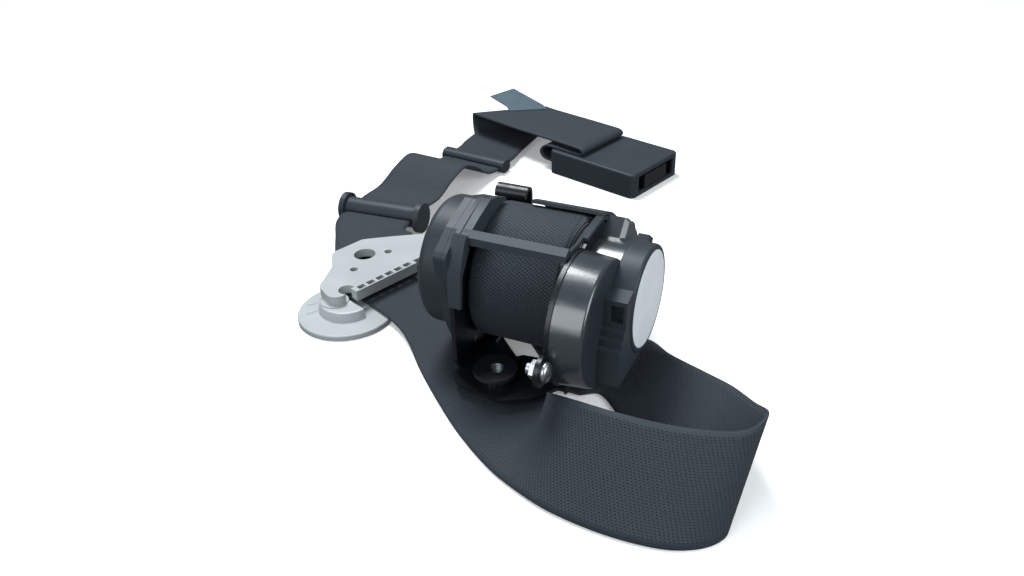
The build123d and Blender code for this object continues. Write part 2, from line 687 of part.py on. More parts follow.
finish(control_cover.part, "control_cover")

with BuildPart() as cover_label:
    with BuildSketch(across(CAP_RIGHT - LABEL_T)):
        Circle(LABEL_R)
    extrude(amount=LABEL_T)
finish(cover_label.part, "cover_label")

with BuildPart() as circuit_board:
    with BuildSketch(across(BOARD_LEFT)):
        Rectangle(BOARD_WIDTH, BOARD_LENGTH)
    extrude(amount=BOARD_T)
    with BuildSketch(across(BOARD_LEFT - CHIP_T)):
        with GridLocations(BOARD_WIDTH / 2.5, BOARD_LENGTH / 2.5, 2, 2):
            Rectangle(7, 5)
    extrude(amount=CHIP_T)
finish(circuit_board.part, "circuit_board")

# Plug block below the cover: a deep mouth that opens downwards, three steps and a latch bridge above it
PLUG_WIDTH = CAP_DEPTH - 0.6
PLUG_WALL = 1.5
PLUG_MOUTH = 14.0
PLUG_DEEP = 15.0
STEP_RISE = 3.6
STEP_BACK = 2.4
plug_low = PLUG_BOTTOM - SPOOL_HEIGHT
plug_middle = (DRIVE_RIGHT + PLUG_WIDTH / 2, PLUG_FRONT + PLUG_WALL + PLUG_MOUTH / 2)
with BuildPart() as plug_housing:
    with BuildSketch(across(DRIVE_RIGHT)):
        with BuildLine():
            step_points = [(PLUG_FRONT, plug_low)]
            for k in range(3):
                rise = -5.5 + k * STEP_RISE
                step_points.append((PLUG_FRONT + k * STEP_BACK, rise))
                step_points.append((PLUG_FRONT + (k + 1) * STEP_BACK, rise))
            Polyline(
                *step_points, (-30.5, 15), (-22, 16.5), (-16, 0), (-6, -20), (-6, plug_low - 1),
                close=True)
        make_face()
        Circle(CAP_R, mode=Mode.SUBTRACT)
    extrude(amount=PLUG_WIDTH)
    with BuildSketch(across(DRIVE_RIGHT + 2 * PLUG_WALL)):
        with BuildLine():
            Polyline((-40, 4.2), (-27.5, 4.2), (-27.5, 10), (-29, 12.6), (-40, 12.6), close=True)
        make_face()
        Circle(CAP_R, mode=Mode.SUBTRACT)
    extrude(amount=PLUG_WIDTH - 3 * PLUG_WALL, mode=Mode.SUBTRACT)
    with BuildSketch(level(PLUG_BOTTOM - 2, *plug_middle)):
        Rectangle(PLUG_WIDTH - 2 * PLUG_WALL, PLUG_MOUTH)
    extrude(amount=PLUG_DEEP + 2, mode=Mode.SUBTRACT)
finish(plug_housing.part, "plug_housing")

with BuildPart() as plug_pins:
    with BuildSketch(level(PLUG_BOTTOM + 5, *plug_middle)):
        with GridLocations(2.6, 3.0, 3, 2):
            Rectangle(0.8, 0.8)
    extrude(amount=PLUG_DEEP - 5)
finish(plug_pins.part, "plug_pins")

# Gas tensioner tube behind the roll, held by the right plate
with BuildPart() as tensioner_tube:
    with BuildSketch(across(TUBE_LEFT)):
        with Locations((TUBE_Y, TUBE_Z)):
            Circle(TUBE_R)
    extrude(amount=PLATE_RIGHT - SHEET_T - TUBE_LEFT)
    fillet(tensioner_tube.edges().group_by(Axis.X)[0], 2.5)
finish(tensioner_tube.part, "tensioner_tube")

with BuildPart() as gas_generator:
    with BuildSketch(across(TUBE_LEFT - 7)):
        with Locations((TUBE_Y, TUBE_Z)):
            Circle(TUBE_R - 5)
    extrude(amount=7)
    with BuildSketch(across(TUBE_LEFT - 13)):
        with Locations((TUBE_Y, TUBE_Z)):
            RegularPolygon(6, 6)
    extrude(amount=6)
finish(gas_generator.part, "gas_generator")

# Webbing guide frame clipped over the side plates: front bar, two end pieces, an apron, a leg and a curved
# shield over the rear of the roll
GUIDE_OUTER = FRAME_INSIDE / 2 - 0.2
GUIDE_INNER = GUIDE_OUTER - 4.3
RIGHT_INNER = WEB_WIDTH / 2 + 0.4
SHIELD_R = ROLL_R + 1.5
SHIELD_T = 1.5
SHIELD_LEFT = -9.0
INNER_END = [(-34, 31), (-33, 34), (-22, 38), (-10, 41.5), (-3, 39.5), (6, 35.5), (6, 34), (0, 34.4),
             (-12, 32.4), (-20, 28.7), (-31.5, 29)]
LEFT_END = [(-36, 31), (-33, 34.5), (-22.7, 38.3), (-10, 41.5), (-3, 39.7), (7, 34), (7, 31.2),
            (-3.8, 37.9), (-10.1, 39.4), (-22.2, 35.5), (-30.3, 30.4), (-33, 27)]
RIGHT_END = [(-13, 32.7), (-5, 33.3), (7.6, 33.6), (20, 28.6), (26, 24.2), (25.4, 21.4), (24.1, 21.2),
             (17.2, 27), (8.2, 31.7), (-13, 31.0)]
RIGHT_FRONT = [(-34, 31), (-32.5, 33.5), (-17.3, 32.4), (-5, 33.3), (-5, 31.5), (-20, 29.2), (-28, 27.5)]
FRONT_BAR = [(-34, 30), (-33.5, 33.5), (-29.5, 35.5), (-28, 33.5), (-31.5, 29.5)]
APRON = [(-34, 35), (-36.5, 33.5), (-43, 19), (-44.4, 2), (-43, 2), (-40.6, 17.4), (-32.5, 28)]
LEG = [(-34, 31), (-36.5, 10), (-38, -8), (-40, -8), (-38.5, 12), (-36, 31)]
with BuildPart() as webbing_guide:
    for outline, left_x, right_x in (
            (INNER_END, -GUIDE_OUTER, -GUIDE_INNER), (LEFT_END, PLATE_LEFT, -GUIDE_OUTER),
            (RIGHT_END, RIGHT_INNER, PLATE_RIGHT), (RIGHT_FRONT, RIGHT_INNER, GUIDE_OUTER),
            (FRONT_BAR, -GUIDE_OUTER, GUIDE_OUTER), (APRON, PLATE_LEFT, -GUIDE_INNER),
            (LEG, RIGHT_INNER, GUIDE_OUTER)):
        with BuildSketch(across(left_x)):
            with BuildLine():
                Polyline(*outline, close=True)
            make_face()
        extrude(amount=right_x - left_x)
    with BuildSketch(across(SHIELD_LEFT)):
        with BuildLine(mode=Mode.PRIVATE) as shield_line:
            CenterArc((0, 0), SHIELD_R + SHIELD_T / 2, 28, 48)
        trace(shield_line.line, line_width=SHIELD_T)
    extrude(amount=PLATE_RIGHT - SHIELD_LEFT)
finish(webbing_guide.part, "webbing_guide")

# Screws of the spring cover and of the drive housing, and the harness screw in the ear with its nut
with BuildPart() as cover_screws:
    with BuildSketch(across(COVER_RIGHT - COVER_RIM)):
        with Locations(*COVER_SCREWS):
            Circle(SCREW_R)
    extrude(amount=PLATE_LEFT + SHEET_T - COVER_RIGHT + COVER_RIM)
    with BuildSketch(across(COVER_RIGHT - COVER_RIM - SCREW_HEAD_T)):
        with Locations(*COVER_SCREWS):
            Circle(SCREW_HEAD_R)
    extrude(amount=SCREW_HEAD_T)
    chamfer(cover_screws.edges().group_by(Axis.X)[0], 0.5)
finish(cover_screws.part, "cover_screws")

with BuildPart() as drive_screws:
    with BuildSketch(across(PLATE_RIGHT - SHEET_T)):
        with Locations(*DRIVE_SCREWS):
            Circle(SCREW_R)
    extrude(amount=SHEET_T + SCREW_DEEP)
    with BuildSketch(across(PLATE_RIGHT - SHEET_T - SCREW_HEAD_T)):
        with Locations(*DRIVE_SCREWS):
            Circle(SCREW_HEAD_R)
    extrude(amount=SCREW_HEAD_T)
    chamfer(drive_screws.edges().group_by(Axis.X)[0], 0.5)
finish(drive_screws.part, "drive_screws")

HARNESS_HEAD_T = 2.8
NUT_T = 3.2
NUT_R = 4.4
THREAD_OUT = 2.0
with BuildPart() as harness_screw:
    with BuildSketch(across(PLATE_RIGHT - SHEET_T - NUT_T - THREAD_OUT)):
        with Locations((ear_y, ear_z)):
            Circle(HARNESS_R)
    extrude(amount=SHEET_T + NUT_T + THREAD_OUT)
    with BuildSketch(across(PLATE_RIGHT)):
        with Locations((ear_y, ear_z)):
            Circle(HARNESS_HEAD_R)
    extrude(amount=HARNESS_HEAD_T)
    fillet(harness_screw.edges().group_by(Axis.X)[-1], 1.6)
finish(harness_screw.part, "harness_screw")

with BuildPart() as harness_nut:
    with BuildSketch(across(PLATE_RIGHT - SHEET_T - NUT_T)):
        with Locations((ear_y, ear_z)):
            RegularPolygon(NUT_R, 6)
            Circle(HARNESS_R, mode=Mode.SUBTRACT)
    extrude(amount=NUT_T)
finish(harness_nut.part, "harness_nut")


def beside(x, y, z, heading, right=0.0):
    """Upright plane along a heading: its X is forward, its Y up, its normal to the right."""
    turn = radians(heading)
    forward = Vector(cos(turn), sin(turn), 0)
    sideways = Vector(sin(turn), -cos(turn), 0)
    return Plane(origin=at(x, y, z) + sideways * right, x_dir=forward, z_dir=sideways)


def along(x, y, heading, forward, left=0.0):
    """Level place forward and to the left of a point, as x and y."""
    turn = radians(heading)
    return (x + forward * cos(turn) - left * sin(turn), y + forward * sin(turn) + left * cos(turn))


def edges_at(x, y, z, heading, forward):
    """Both edges of webbing that lies level, forward of a point, right edge first."""
    right = along(x, y, heading, forward, -WEB_WIDTH / 2)
    left = along(x, y, heading, forward, WEB_WIDTH / 2)
    return ((*right, z), (*left, z))


def hairpin(first, second, low_z, high_z):
    """Turned edge between two level layers, bulging to the left of the crease from first to second."""
    start = at(*first, (low_z + high_z) / 2)
    crease = at(*second, (low_z + high_z) / 2) - start
    turn_r = (high_z - low_z) / 2
    with BuildPart() as turned:
        with BuildSketch(Plane(origin=start, x_dir=Vector(-crease.Y, crease.X, 0), z_dir=crease)):
            Circle(turn_r + WEB_T / 2)
            Circle(turn_r - WEB_T / 2, mode=Mode.SUBTRACT)
            Rectangle(4 * turn_r, 4 * turn_r, align=(Align.MAX, Align.CENTER), mode=Mode.SUBTRACT)
        extrude(amount=crease.length)
    return turned.part


# Webbing that leaves the roll at the rear, runs forward under the base and turns on a crease there
FEED_Y = ROLL_R + LAYER_GAP + WEB_T / 2
half_web = WEB_WIDTH / 2
FEED_Z = WEB_T / 2
CREASED_Z = FEED_Z + WEB_T + LAYER_GAP
FEED_END = 21.0             # where the webbing lies flat on the floor
CREASE_Y = FEED_END - 1.0 - WEB_WIDTH
CREASE_RIGHT = (half_web, CREASE_Y)
CREASE_LEFT = (-half_web, CREASE_Y + WEB_WIDTH)
LOOP_START = 30.0
FEED_ROUTE = [(FEED_Y, 44.5), (FEED_Y, 14), (FEED_Y - 0.5, 8), (FEED_Y - 2.5, 3.5), (28, 1.2), (24, FEED_Z),
              (FEED_END, FEED_Z)]
feed_run = ribbon([((half_web, y, z), (-half_web, y, z)) for y, z in FEED_ROUTE])
feed_turn = hairpin(CREASE_RIGHT, CREASE_LEFT, FEED_Z, CREASED_Z)
with BuildPart() as webbing_feed:
    add(feed_run)
    with BuildSketch(level(0)):
        with BuildLine():
            Polyline(CREASE_RIGHT, CREASE_LEFT, (-half_web, FEED_END), (half_web, FEED_END), close=True)
        make_face()
    extrude(amount=WEB_T)
    add(feed_turn)
finish(webbing_feed.part, "webbing_feed")

# Free webbing: from the crease round the loop on the floor and through the pillar guide
GUIDED_Z = LIP_T + 0.7 + WEB_T / 2
RING_LAP = -14.0            # where the loop's webbing becomes the lap's, along the guide's heading
LOOP_EDGES = [
    ((LOOP_START, CREASE_Y, CREASED_Z), (LOOP_START, CREASE_Y + WEB_WIDTH, CREASED_Z)),
    ((38, -22, 1.5), (46, 24, 5)), ((52, -34, 1.2), (63, 9, 10)), ((70, -48, 1), (83, -6, 16)),
    ((88, -60, 1), (99, -22, 24)),
    ((103, -72, 0.8), (111, -38, 31)), ((111, -77, 0.8), (117, -46, 35)),
    ((113, -84, 0.8), (117.5, -54, 36.5)), ((109, -92, 0.8), (113, -61.5, 36)),
    ((100, -98.5, 0.8), (102, -66, 35)), ((88, -102, 0.8), (85, -68, 33.5)),
    ((68, -103, 0.8), (64, -69, 33.5)), ((46, -100.5, 0.8), (42, -64, 30)),
    ((31, -96, 0.8), (26, -54.5, 22)), ((13, -88, 0.8), (31, -47, 14.5)),
    ((-9, -73.5, 0.8), (19, -36, 2.6)), ((-28, -58, 0.8), (4, -23.7, 2.4)),
    ((-49, -39, 1), (-17.5, -4.2, 2)), ((-72, -17, 3.6), (-44, 20.6, 3.6)),
    edges_at(RING_X, RING_Y, GUIDED_Z, RING_HEADING, 20),
    edges_at(RING_X, RING_Y, GUIDED_Z, RING_HEADING, RING_LAP)]
loop_run = ribbon(LOOP_EDGES)
with BuildPart() as webbing_loop:
    add(loop_run)
    with BuildSketch(level(CREASED_Z - WEB_T / 2)):
        with BuildLine():
            Polyline(
                CREASE_RIGHT, (LOOP_START, CREASE_Y), (LOOP_START, CREASE_Y + WEB_WIDTH), CREASE_LEFT,
                close=True)
        make_face()
    extrude(amount=WEB_T)
finish(webbing_loop.part, "webbing_loop")

# Webbing from the pillar guide through the tongue and the keeper clip to the slanting fold
TONGUE_Z = 9.5
TONGUE_WEB_Z = 9.4
TONGUE_STRAIGHT = 17.0
CLIP_Z = 5.0
CLIP_HEADING = 83.0
CLIP_STRAIGHT = 12.5
FOLD_LEFT = (-160.5, 238.5)
FOLD_RIGHT = (-113.5, 271.5)
FOLD_LOW = 4.4
FOLD_HIGH = 20.6
FOLD_START = 222.0
FOLD_OUT_HEADING = -20.0
FOLD_OUT = 42.4             # how far the upper layer runs level from the near end of the crease
lap_x, lap_y = along(RING_X, RING_Y, RING_HEADING, RING_LAP)
LAP_ROUTE = [
    (lap_x, lap_y, GUIDED_Z, RING_HEADING + 180, 0), (lap_x, lap_y, GUIDED_Z, RING_HEADING + 180, 3),
    (-127, 43, 5.4, 137, 0), (-138, 60, 8.4, 119, 0),
    (TONGUE_X, TONGUE_Y, TONGUE_WEB_Z, TONGUE_HEADING + 180, -TONGUE_STRAIGHT),
    (TONGUE_X, TONGUE_Y, TONGUE_WEB_Z, TONGUE_HEADING + 180, TONGUE_STRAIGHT),
    (-147.5, 118, 11, 86, 0), (-145, 134, 18, 85, 0), (-143, 149, 21.5, 84, 0), (-141.5, 162, 16, 84, 0),
    (-140, 173, 8, 83, 0), (CLIP_X, CLIP_Y, CLIP_Z, CLIP_HEADING, -CLIP_STRAIGHT),
    (CLIP_X, CLIP_Y, CLIP_Z, CLIP_HEADING, CLIP_STRAIGHT), (-137, FOLD_START, FOLD_LOW, 90, 0)]
lap_run = ribbon([edges_at(*place) for place in LAP_ROUTE])
fold_turn = hairpin(FOLD_LEFT, FOLD_RIGHT, FOLD_LOW, FOLD_HIGH)
with BuildPart() as webbing_lap:
    add(lap_run)
    with BuildSketch(level(FOLD_LOW - WEB_T / 2)):
        with BuildLine():
            Polyline(
                (FOLD_LEFT[0], FOLD_START), (FOLD_RIGHT[0], FOLD_START), FOLD_RIGHT, FOLD_LEFT, close=True)
        make_face()
    extrude(amount=WEB_T)
    add(fold_turn)
finish(webbing_lap.part, "webbing_lap")

# Webbing over the connector, folded back and led into its rear slot
BOX_SLOT_Z = 7.5
PIN_FORWARD = -28.0         # anchor pin that holds the end of the webbing
ANCHOR_PIN_R = 2.0
OVER_Z = 22.5
ON_BOX_Z = BOX_HEIGHT + LAYER_GAP + WEB_T / 2
over_right = along(*FOLD_LEFT, FOLD_OUT_HEADING, FOLD_OUT)
over_left = along(*FOLD_LEFT, FOLD_OUT_HEADING, FOLD_OUT, WEB_WIDTH)
TAIL_ROUTE = [(-14, OVER_Z), (-10.5, 21.8), (-9.2, 20.2), (-10.5, 18.6), (-14, ON_BOX_Z), (-38, ON_BOX_Z),
              (-44, 16.4), (-47, 12.5), (-46, 9.2), (-42, BOX_SLOT_Z),
              (PIN_FORWARD - ANCHOR_PIN_R - 0.2, BOX_SLOT_Z)]
TAIL_EDGES = [((*over_right, FOLD_HIGH), (*over_left, FOLD_HIGH))]
for forward, z in TAIL_ROUTE:
    TAIL_EDGES.append(edges_at(BOX_X, BOX_Y, z, BOX_HEADING, forward))
tail_run = ribbon(TAIL_EDGES)
with BuildPart() as webbing_tail:
    add(tail_run)
    with BuildSketch(level(FOLD_HIGH - WEB_T / 2)):
        with BuildLine():
            Polyline(FOLD_LEFT, over_right, over_left, FOLD_RIGHT, close=True)
        make_face()
    extrude(amount=WEB_T)
finish(webbing_tail.part, "webbing_tail")

# Bare cloth flap sewn on the upper layer, standing out past the crease
FLAP_T = 0.8
FLAP_OUTLINE = [(-136.5, 252), (-111.6, 266), (-118, 273), (-155, 299), (-165, 276), (-143, 260)]
with BuildPart() as label_flap:
    with BuildSketch(level(FOLD_HIGH + WEB_T / 2)):
        with BuildLine():
            Polyline(*FLAP_OUTLINE, close=True)
        make_face()
    extrude(amount=FLAP_T)
finish(label_flap.part, "label_flap")

# Pillar guide: flared lip, plate with the bolt hole and two shoulders round the webbing slot
RING_UNDER = LIP_T + RING_SLOT_H
half_slot = RING_SLOT / 2
INSERT_T = 2.0
INSERT_UNDER = RING_UNDER + 1.5
BOLT_BACK = -24.4                   # bolt hole, seen from the slot along the webbing
SMALL_HOLES = [(-16.8, 11.2), (-14.9, -14.7)]
SMALL_HOLE_R = 2.2
EYE_LEFT = -half_slot - 1.5         # place of the slot's wide end across the webbing
DISC_LEFT = -half_slot - 4.0
POST_LEFT_R = 7.5
POST_RIGHT_R = 7.0
RAIL_FORWARD = 4.5
RAIL_LEFT = -8.0
RAIL_WIDTH = 5.0
RAIL_LENGTH = RING_SLOT - 16
LOBE_OUTLINE = [(6, -half_slot - 14), (2, -half_slot), (2, half_slot), (6, half_slot + 14),
                (-12, half_slot + 18), (-30, 24), (-40, 10), (-40, -12), (-26, -22),
                (-14, -half_slot - 10)]


def ring_level(z):
    return level(z, RING_X, RING_Y, RING_HEADING)


with BuildSketch(ring_level(INSERT_UNDER)) as insert_outline:
    with BuildLine():
        Polyline((-34, -14), (-34, 14), (-10, 26), (-8, 26), (-8, -24), (-10, -24), close=True)
    make_face()
    with Locations((BOLT_BACK, 0)):
        Circle(BOLT_HOLE_R + 1.2, mode=Mode.SUBTRACT)
    with Locations(*SMALL_HOLES):
        Circle(SMALL_HOLE_R + 1.0, mode=Mode.SUBTRACT)

with BuildPart() as guide_insert:
    extrude(insert_outline.sketch, amount=INSERT_T)
finish(guide_insert.part, "guide_insert")

with BuildPart() as guide_body:
    with BuildSketch(ring_level(0)):
        with Locations((1.4, DISC_LEFT)):
            Circle(LIP_R)
        with Locations((9, 4)):
            SlotOverall(RING_SLOT + 34, 18, rotation=90)
    extrude(amount=LIP_T)
    fillet(guide_body.edges().group_by(Axis.Z)[-1], 1.0)
    with BuildSketch(ring_level(RING_UNDER)):
        with BuildLine():
            FilletPolyline(*LOBE_OUTLINE, radius=6.0, close=True)
        make_face()
        with Locations((BOLT_BACK, 0)):
            Circle(BOLT_HOLE_R, mode=Mode.SUBTRACT)
        with Locations(*SMALL_HOLES):
            Circle(SMALL_HOLE_R, mode=Mode.SUBTRACT)
        with Locations((0, EYE_LEFT)):
            Circle(EYE_R, mode=Mode.SUBTRACT)
    extrude(amount=RING_PLATE_T)
    with BuildSketch(ring_level(LIP_T)):
        with Locations((-3, -half_slot - 8)):
            Circle(POST_LEFT_R)
        with Locations((-1, half_slot + 8)):
            Circle(POST_RIGHT_R)
    extrude(amount=RING_SLOT_H)
    with BuildSketch(ring_level(RING_UNDER)):
        with Locations((RAIL_FORWARD, RAIL_LEFT)):
            Rectangle(RAIL_WIDTH, RAIL_LENGTH)
            with GridLocations(1, (RAIL_LENGTH - 4) / RAIL_RIBS, 1, RAIL_RIBS):
                Rectangle(RAIL_WIDTH - 1.8, 4.6, mode=Mode.SUBTRACT)
    extrude(amount=RING_PLATE_T + 1.0)
    add(guide_insert.part, mode=Mode.SUBTRACT)
finish(guide_body.part, "guide_body")

# Tongue: tubular grip with flared ends round the webbing, steel blade with its latch window
BLADE_UNDER = 2.8
BLADE_REACH = 30.0
with BuildPart() as tongue_grip:
    with BuildSketch(beside(TONGUE_X, TONGUE_Y, TONGUE_Z, TONGUE_HEADING, -GRIP_LENGTH / 2)):
        Circle(GRIP_R)
    extrude(amount=GRIP_LENGTH)
    for right in (-GRIP_LENGTH / 2, GRIP_LENGTH / 2 - GRIP_END_T):
        with BuildSketch(beside(TONGUE_X, TONGUE_Y, TONGUE_Z, TONGUE_HEADING, right)):
            Circle(GRIP_END_R)
        extrude(amount=GRIP_END_T)
    with BuildSketch(beside(TONGUE_X, TONGUE_Y, TONGUE_WEB_Z, TONGUE_HEADING, -(WEB_WIDTH / 2 + 0.8))):
        Rectangle(4 * GRIP_R, TONGUE_SLOT_H)
    extrude(amount=WEB_WIDTH + 1.6, mode=Mode.SUBTRACT)
    with BuildSketch(level(BLADE_UNDER, TONGUE_X, TONGUE_Y, TONGUE_HEADING)):
        Rectangle(4 * GRIP_R, BLADE_WIDTH)
    extrude(amount=BLADE_T, mode=Mode.SUBTRACT)
finish(tongue_grip.part, "tongue_grip")

with BuildPart() as tongue_blade:
    with BuildSketch(level(BLADE_UNDER, TONGUE_X, TONGUE_Y, TONGUE_HEADING)):
        with BuildLine():
            FilletPolyline(
                (-5, -BLADE_WIDTH / 2), (BLADE_REACH + 4, -BLADE_WIDTH / 2), (BLADE_REACH + 7, 0),
                (BLADE_REACH + 4, BLADE_WIDTH / 2), (-5, BLADE_WIDTH / 2), radius=1.5, close=True)
        make_face()
        with Locations((BLADE_REACH - 6, 0)):
            Rectangle(8, 12, mode=Mode.SUBTRACT)
    extrude(amount=BLADE_T)
finish(tongue_blade.part, "tongue_blade")

# Keeper clip across the webbing
with BuildPart() as keeper_clip:
    with BuildSketch(beside(CLIP_X, CLIP_Y, CLIP_Z, CLIP_HEADING, -CLIP_LENGTH / 2)):
        SlotOverall(2.2 * CLIP_R, 2 * CLIP_R - 1)
    extrude(amount=CLIP_LENGTH)
    with BuildSketch(beside(CLIP_X, CLIP_Y, CLIP_Z, CLIP_HEADING, -(WEB_WIDTH / 2 + 0.8))):
        Rectangle(4 * CLIP_R, 2.6)
    extrude(amount=WEB_WIDTH + 1.6, mode=Mode.SUBTRACT)
finish(keeper_clip.part, "keeper_clip")

# End connector: lower and upper shell, steel frame, latch and release button
BOX_SPLIT = 8.0
half_box = BOX_LENGTH / 2
BUTTON_LENGTH = 14.0
BUTTON_WIDTH = 26.0
BUTTON_UNDER = 3.4
BUTTON_HEIGHT = 9.6
CONNECTOR_SCREWS = [(-10, -22.4), (-10, 22.4), (24, -22.4), (24, 22.4)]
CONNECTOR_SCREW_R = 1.1
CONNECTOR_SCREW_UP = 5.0


def box_level(z):
    return level(z, BOX_X, BOX_Y, BOX_HEADING)


with BuildPart() as connector_lower:
    with BuildSketch(box_level(0)):
        RectangleRounded(BOX_LENGTH, BOX_WIDTH, 4.0)
    extrude(amount=BOX_SPLIT)
    with BuildSketch(box_level(BOX_WALL)):
        RectangleRounded(BOX_LENGTH - 2 * BOX_WALL, BOX_WIDTH - 2 * BOX_WALL, 2.5)
    extrude(amount=BOX_SPLIT - BOX_WALL, mode=Mode.SUBTRACT)
    with BuildSketch(box_level(BOX_SLOT_Z - 2.0)):
        with Locations((-half_box, 0)):
            Rectangle(4 * BOX_WALL, WEB_WIDTH + 1.6)
    extrude(amount=BOX_SPLIT, mode=Mode.SUBTRACT)
    with BuildSketch(box_level(BOX_WALL + 1)):
        with Locations((half_box, 0)):
            Rectangle(4 * BOX_WALL, BUTTON_WIDTH + 14)
    extrude(amount=BOX_SPLIT, mode=Mode.SUBTRACT)
    with BuildSketch(box_level(0)):
        with Locations(*CONNECTOR_SCREWS):
            Circle(SCREW_R + 0.8)
    extrude(amount=BOX_SPLIT)
    with BuildSketch(box_level(0)):
        with Locations(*CONNECTOR_SCREWS):
            Circle(CONNECTOR_SCREW_R)
    extrude(amount=BOX_SPLIT, mode=Mode.SUBTRACT)
finish(connector_lower.part, "connector_lower")

with BuildPart() as connector_upper:
    with BuildSketch(box_level(BOX_SPLIT)):
        RectangleRounded(BOX_LENGTH, BOX_WIDTH, 4.0)
    extrude(amount=BOX_HEIGHT - BOX_SPLIT)
    fillet(connector_upper.edges().group_by(Axis.Z)[-1], 1.5)
    with BuildSketch(box_level(BOX_SPLIT)):
        RectangleRounded(BOX_LENGTH - 2 * BOX_WALL, BOX_WIDTH - 2 * BOX_WALL, 2.5)
    extrude(amount=BOX_HEIGHT - BOX_SPLIT - BOX_WALL, mode=Mode.SUBTRACT)
    with BuildSketch(box_level(BOX_SPLIT)):
        with Locations((-half_box, 0)):
            Rectangle(4 * BOX_WALL, WEB_WIDTH + 1.6)
    extrude(amount=BOX_SLOT_Z + 2.0 - BOX_SPLIT, mode=Mode.SUBTRACT)
    with BuildSketch(box_level(BOX_SPLIT)):
        with Locations((half_box, 0)):
            Rectangle(4 * BOX_WALL, BUTTON_WIDTH + 14)
    extrude(amount=6.0, mode=Mode.SUBTRACT)
    with BuildSketch(box_level(BOX_SPLIT)):
        with Locations(*CONNECTOR_SCREWS):
            Circle(SCREW_R + 0.8)
    extrude(amount=BOX_HEIGHT - BOX_SPLIT - BOX_WALL)
    with BuildSketch(box_level(BOX_SPLIT)):
        with Locations(*CONNECTOR_SCREWS):
            Circle(CONNECTOR_SCREW_R)
    extrude(amount=CONNECTOR_SCREW_UP, mode=Mode.SUBTRACT)
finish(connector_upper.part, "connector_upper")

FRAME_T = 2.0
CHEEK = 18.5                # middle of a cheek, left or right of the centre line
LATCH_FORWARD = -4.0
LATCH_Z = 8.5
LATCH_PIN_R = 1.2
with BuildPart() as connector_frame:
    with BuildSketch(box_level(BOX_WALL)):
        with Locations((-half_box + 4, 0)):
            Rectangle(BOX_LENGTH - 22, 2 * CHEEK + 2, align=(Align.MIN, Align.CENTER))
        with Locations((14, 0)):
            Rectangle(6, 14, mode=Mode.SUBTRACT)
    extrude(amount=FRAME_T)
    for left in (-CHEEK, CHEEK):
        with BuildSketch(beside(BOX_X, BOX_Y, 0, BOX_HEADING, -left - 1.0)):
            with Locations((PIN_FORWARD + 1.2, BOX_SLOT_Z - 0.5)):
                Rectangle(6, 9.6)
            with Locations((LATCH_FORWARD, LATCH_Z - 2.2)):
                Rectangle(8, 7.2)
            with Locations((LATCH_FORWARD, LATCH_Z)):
                Circle(LATCH_PIN_R, mode=Mode.SUBTRACT)
            with Locations((PIN_FORWARD, BOX_SLOT_Z)):
                Circle(ANCHOR_PIN_R, mode=Mode.SUBTRACT)
        extrude(amount=2.0)
finish(connector_frame.part, "connector_frame")

for name, pin_r, forward, z in (
        ("anchor_pin", ANCHOR_PIN_R, PIN_FORWARD, BOX_SLOT_Z),
        ("latch_pin", LATCH_PIN_R, LATCH_FORWARD, LATCH_Z)):
    with BuildPart() as pin:
        with BuildSketch(beside(BOX_X, BOX_Y, 0, BOX_HEADING, -CHEEK - 1)):
            with Locations((forward, z)):
                Circle(pin_r)
        extrude(amount=2 * CHEEK + 2)
    finish(pin.part, name)

LATCH_OUTLINE = [(-7, 7.4), (-7, 10), (LATCH_FORWARD, 11.2), (6, 9.6), (17, 9.6), (17, 5.2), (15, 5.2),
                 (13, 7.4)]
LATCH_WIDTH = 24.0
with BuildPart() as connector_latch:
    with BuildSketch(beside(BOX_X, BOX_Y, 0, BOX_HEADING, -LATCH_WIDTH / 2)):
        with BuildLine():
            FilletPolyline(*LATCH_OUTLINE, radius=0.6, close=True)
        make_face()
        with Locations((LATCH_FORWARD, LATCH_Z)):
            Circle(LATCH_PIN_R + FIT_GAP, mode=Mode.SUBTRACT)
    extrude(amount=LATCH_WIDTH)
finish(connector_latch.part, "connector_latch")

BUTTON_BACK = half_box - BUTTON_LENGTH
SHOULDER_T = 2.5
SHOULDER_HALF = 19.0
with BuildPart() as release_button:
    with BuildSketch(box_level(BUTTON_UNDER)):
        with Locations((half_box - BUTTON_LENGTH / 2, 0)):
            Rectangle(BUTTON_LENGTH, BUTTON_WIDTH)
        with Locations((BUTTON_BACK + SHOULDER_T / 2, 0)):
            Rectangle(SHOULDER_T, 2 * SHOULDER_HALF)
    extrude(amount=BUTTON_HEIGHT)
    fillet(release_button.edges().filter_by(Axis.Z).group_by(Axis.X)[-1], 1.0)
finish(release_button.part, "release_button")

# Springs of the button, compressed against ribs of the frame
SPRING_HALF = 16.0
SPRING_LENGTH = 4.0
SPRING_R = 1.8
with BuildPart() as button_spring:
    for left in (-SPRING_HALF, SPRING_HALF):
        with BuildSketch(level(LATCH_Z, BOX_X, BOX_Y, BOX_HEADING)):
            with Locations((BUTTON_BACK - BUTTON_TRAVEL - 0.4 - SPRING_LENGTH / 2, left)):
                Rectangle(SPRING_LENGTH, 2 * SPRING_R)
        extrude(amount=SPRING_R, both=True)
finish(button_spring.part, "button_spring")

with BuildPart() as connector_screws:
    with BuildSketch(box_level(0)):
        with Locations(*CONNECTOR_SCREWS):
            Circle(CONNECTOR_SCREW_R)
    extrude(amount=BOX_SPLIT + CONNECTOR_SCREW_UP)
    chamfer(connector_screws.edges().group_by(Axis.Z)[0], 0.3)
finish(connector_screws.part, "connector_screws")
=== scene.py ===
# %% [markdown]
# A car seat belt lies on a white bench: the retractor with its wound webbing, the free webbing in a loop,
# the light grey pillar guide, the tongue, a keeper clip and the end connector.  The moving frame of the
# part comes first, because every piece below is placed in its coordinates and rides on one of its bodies.

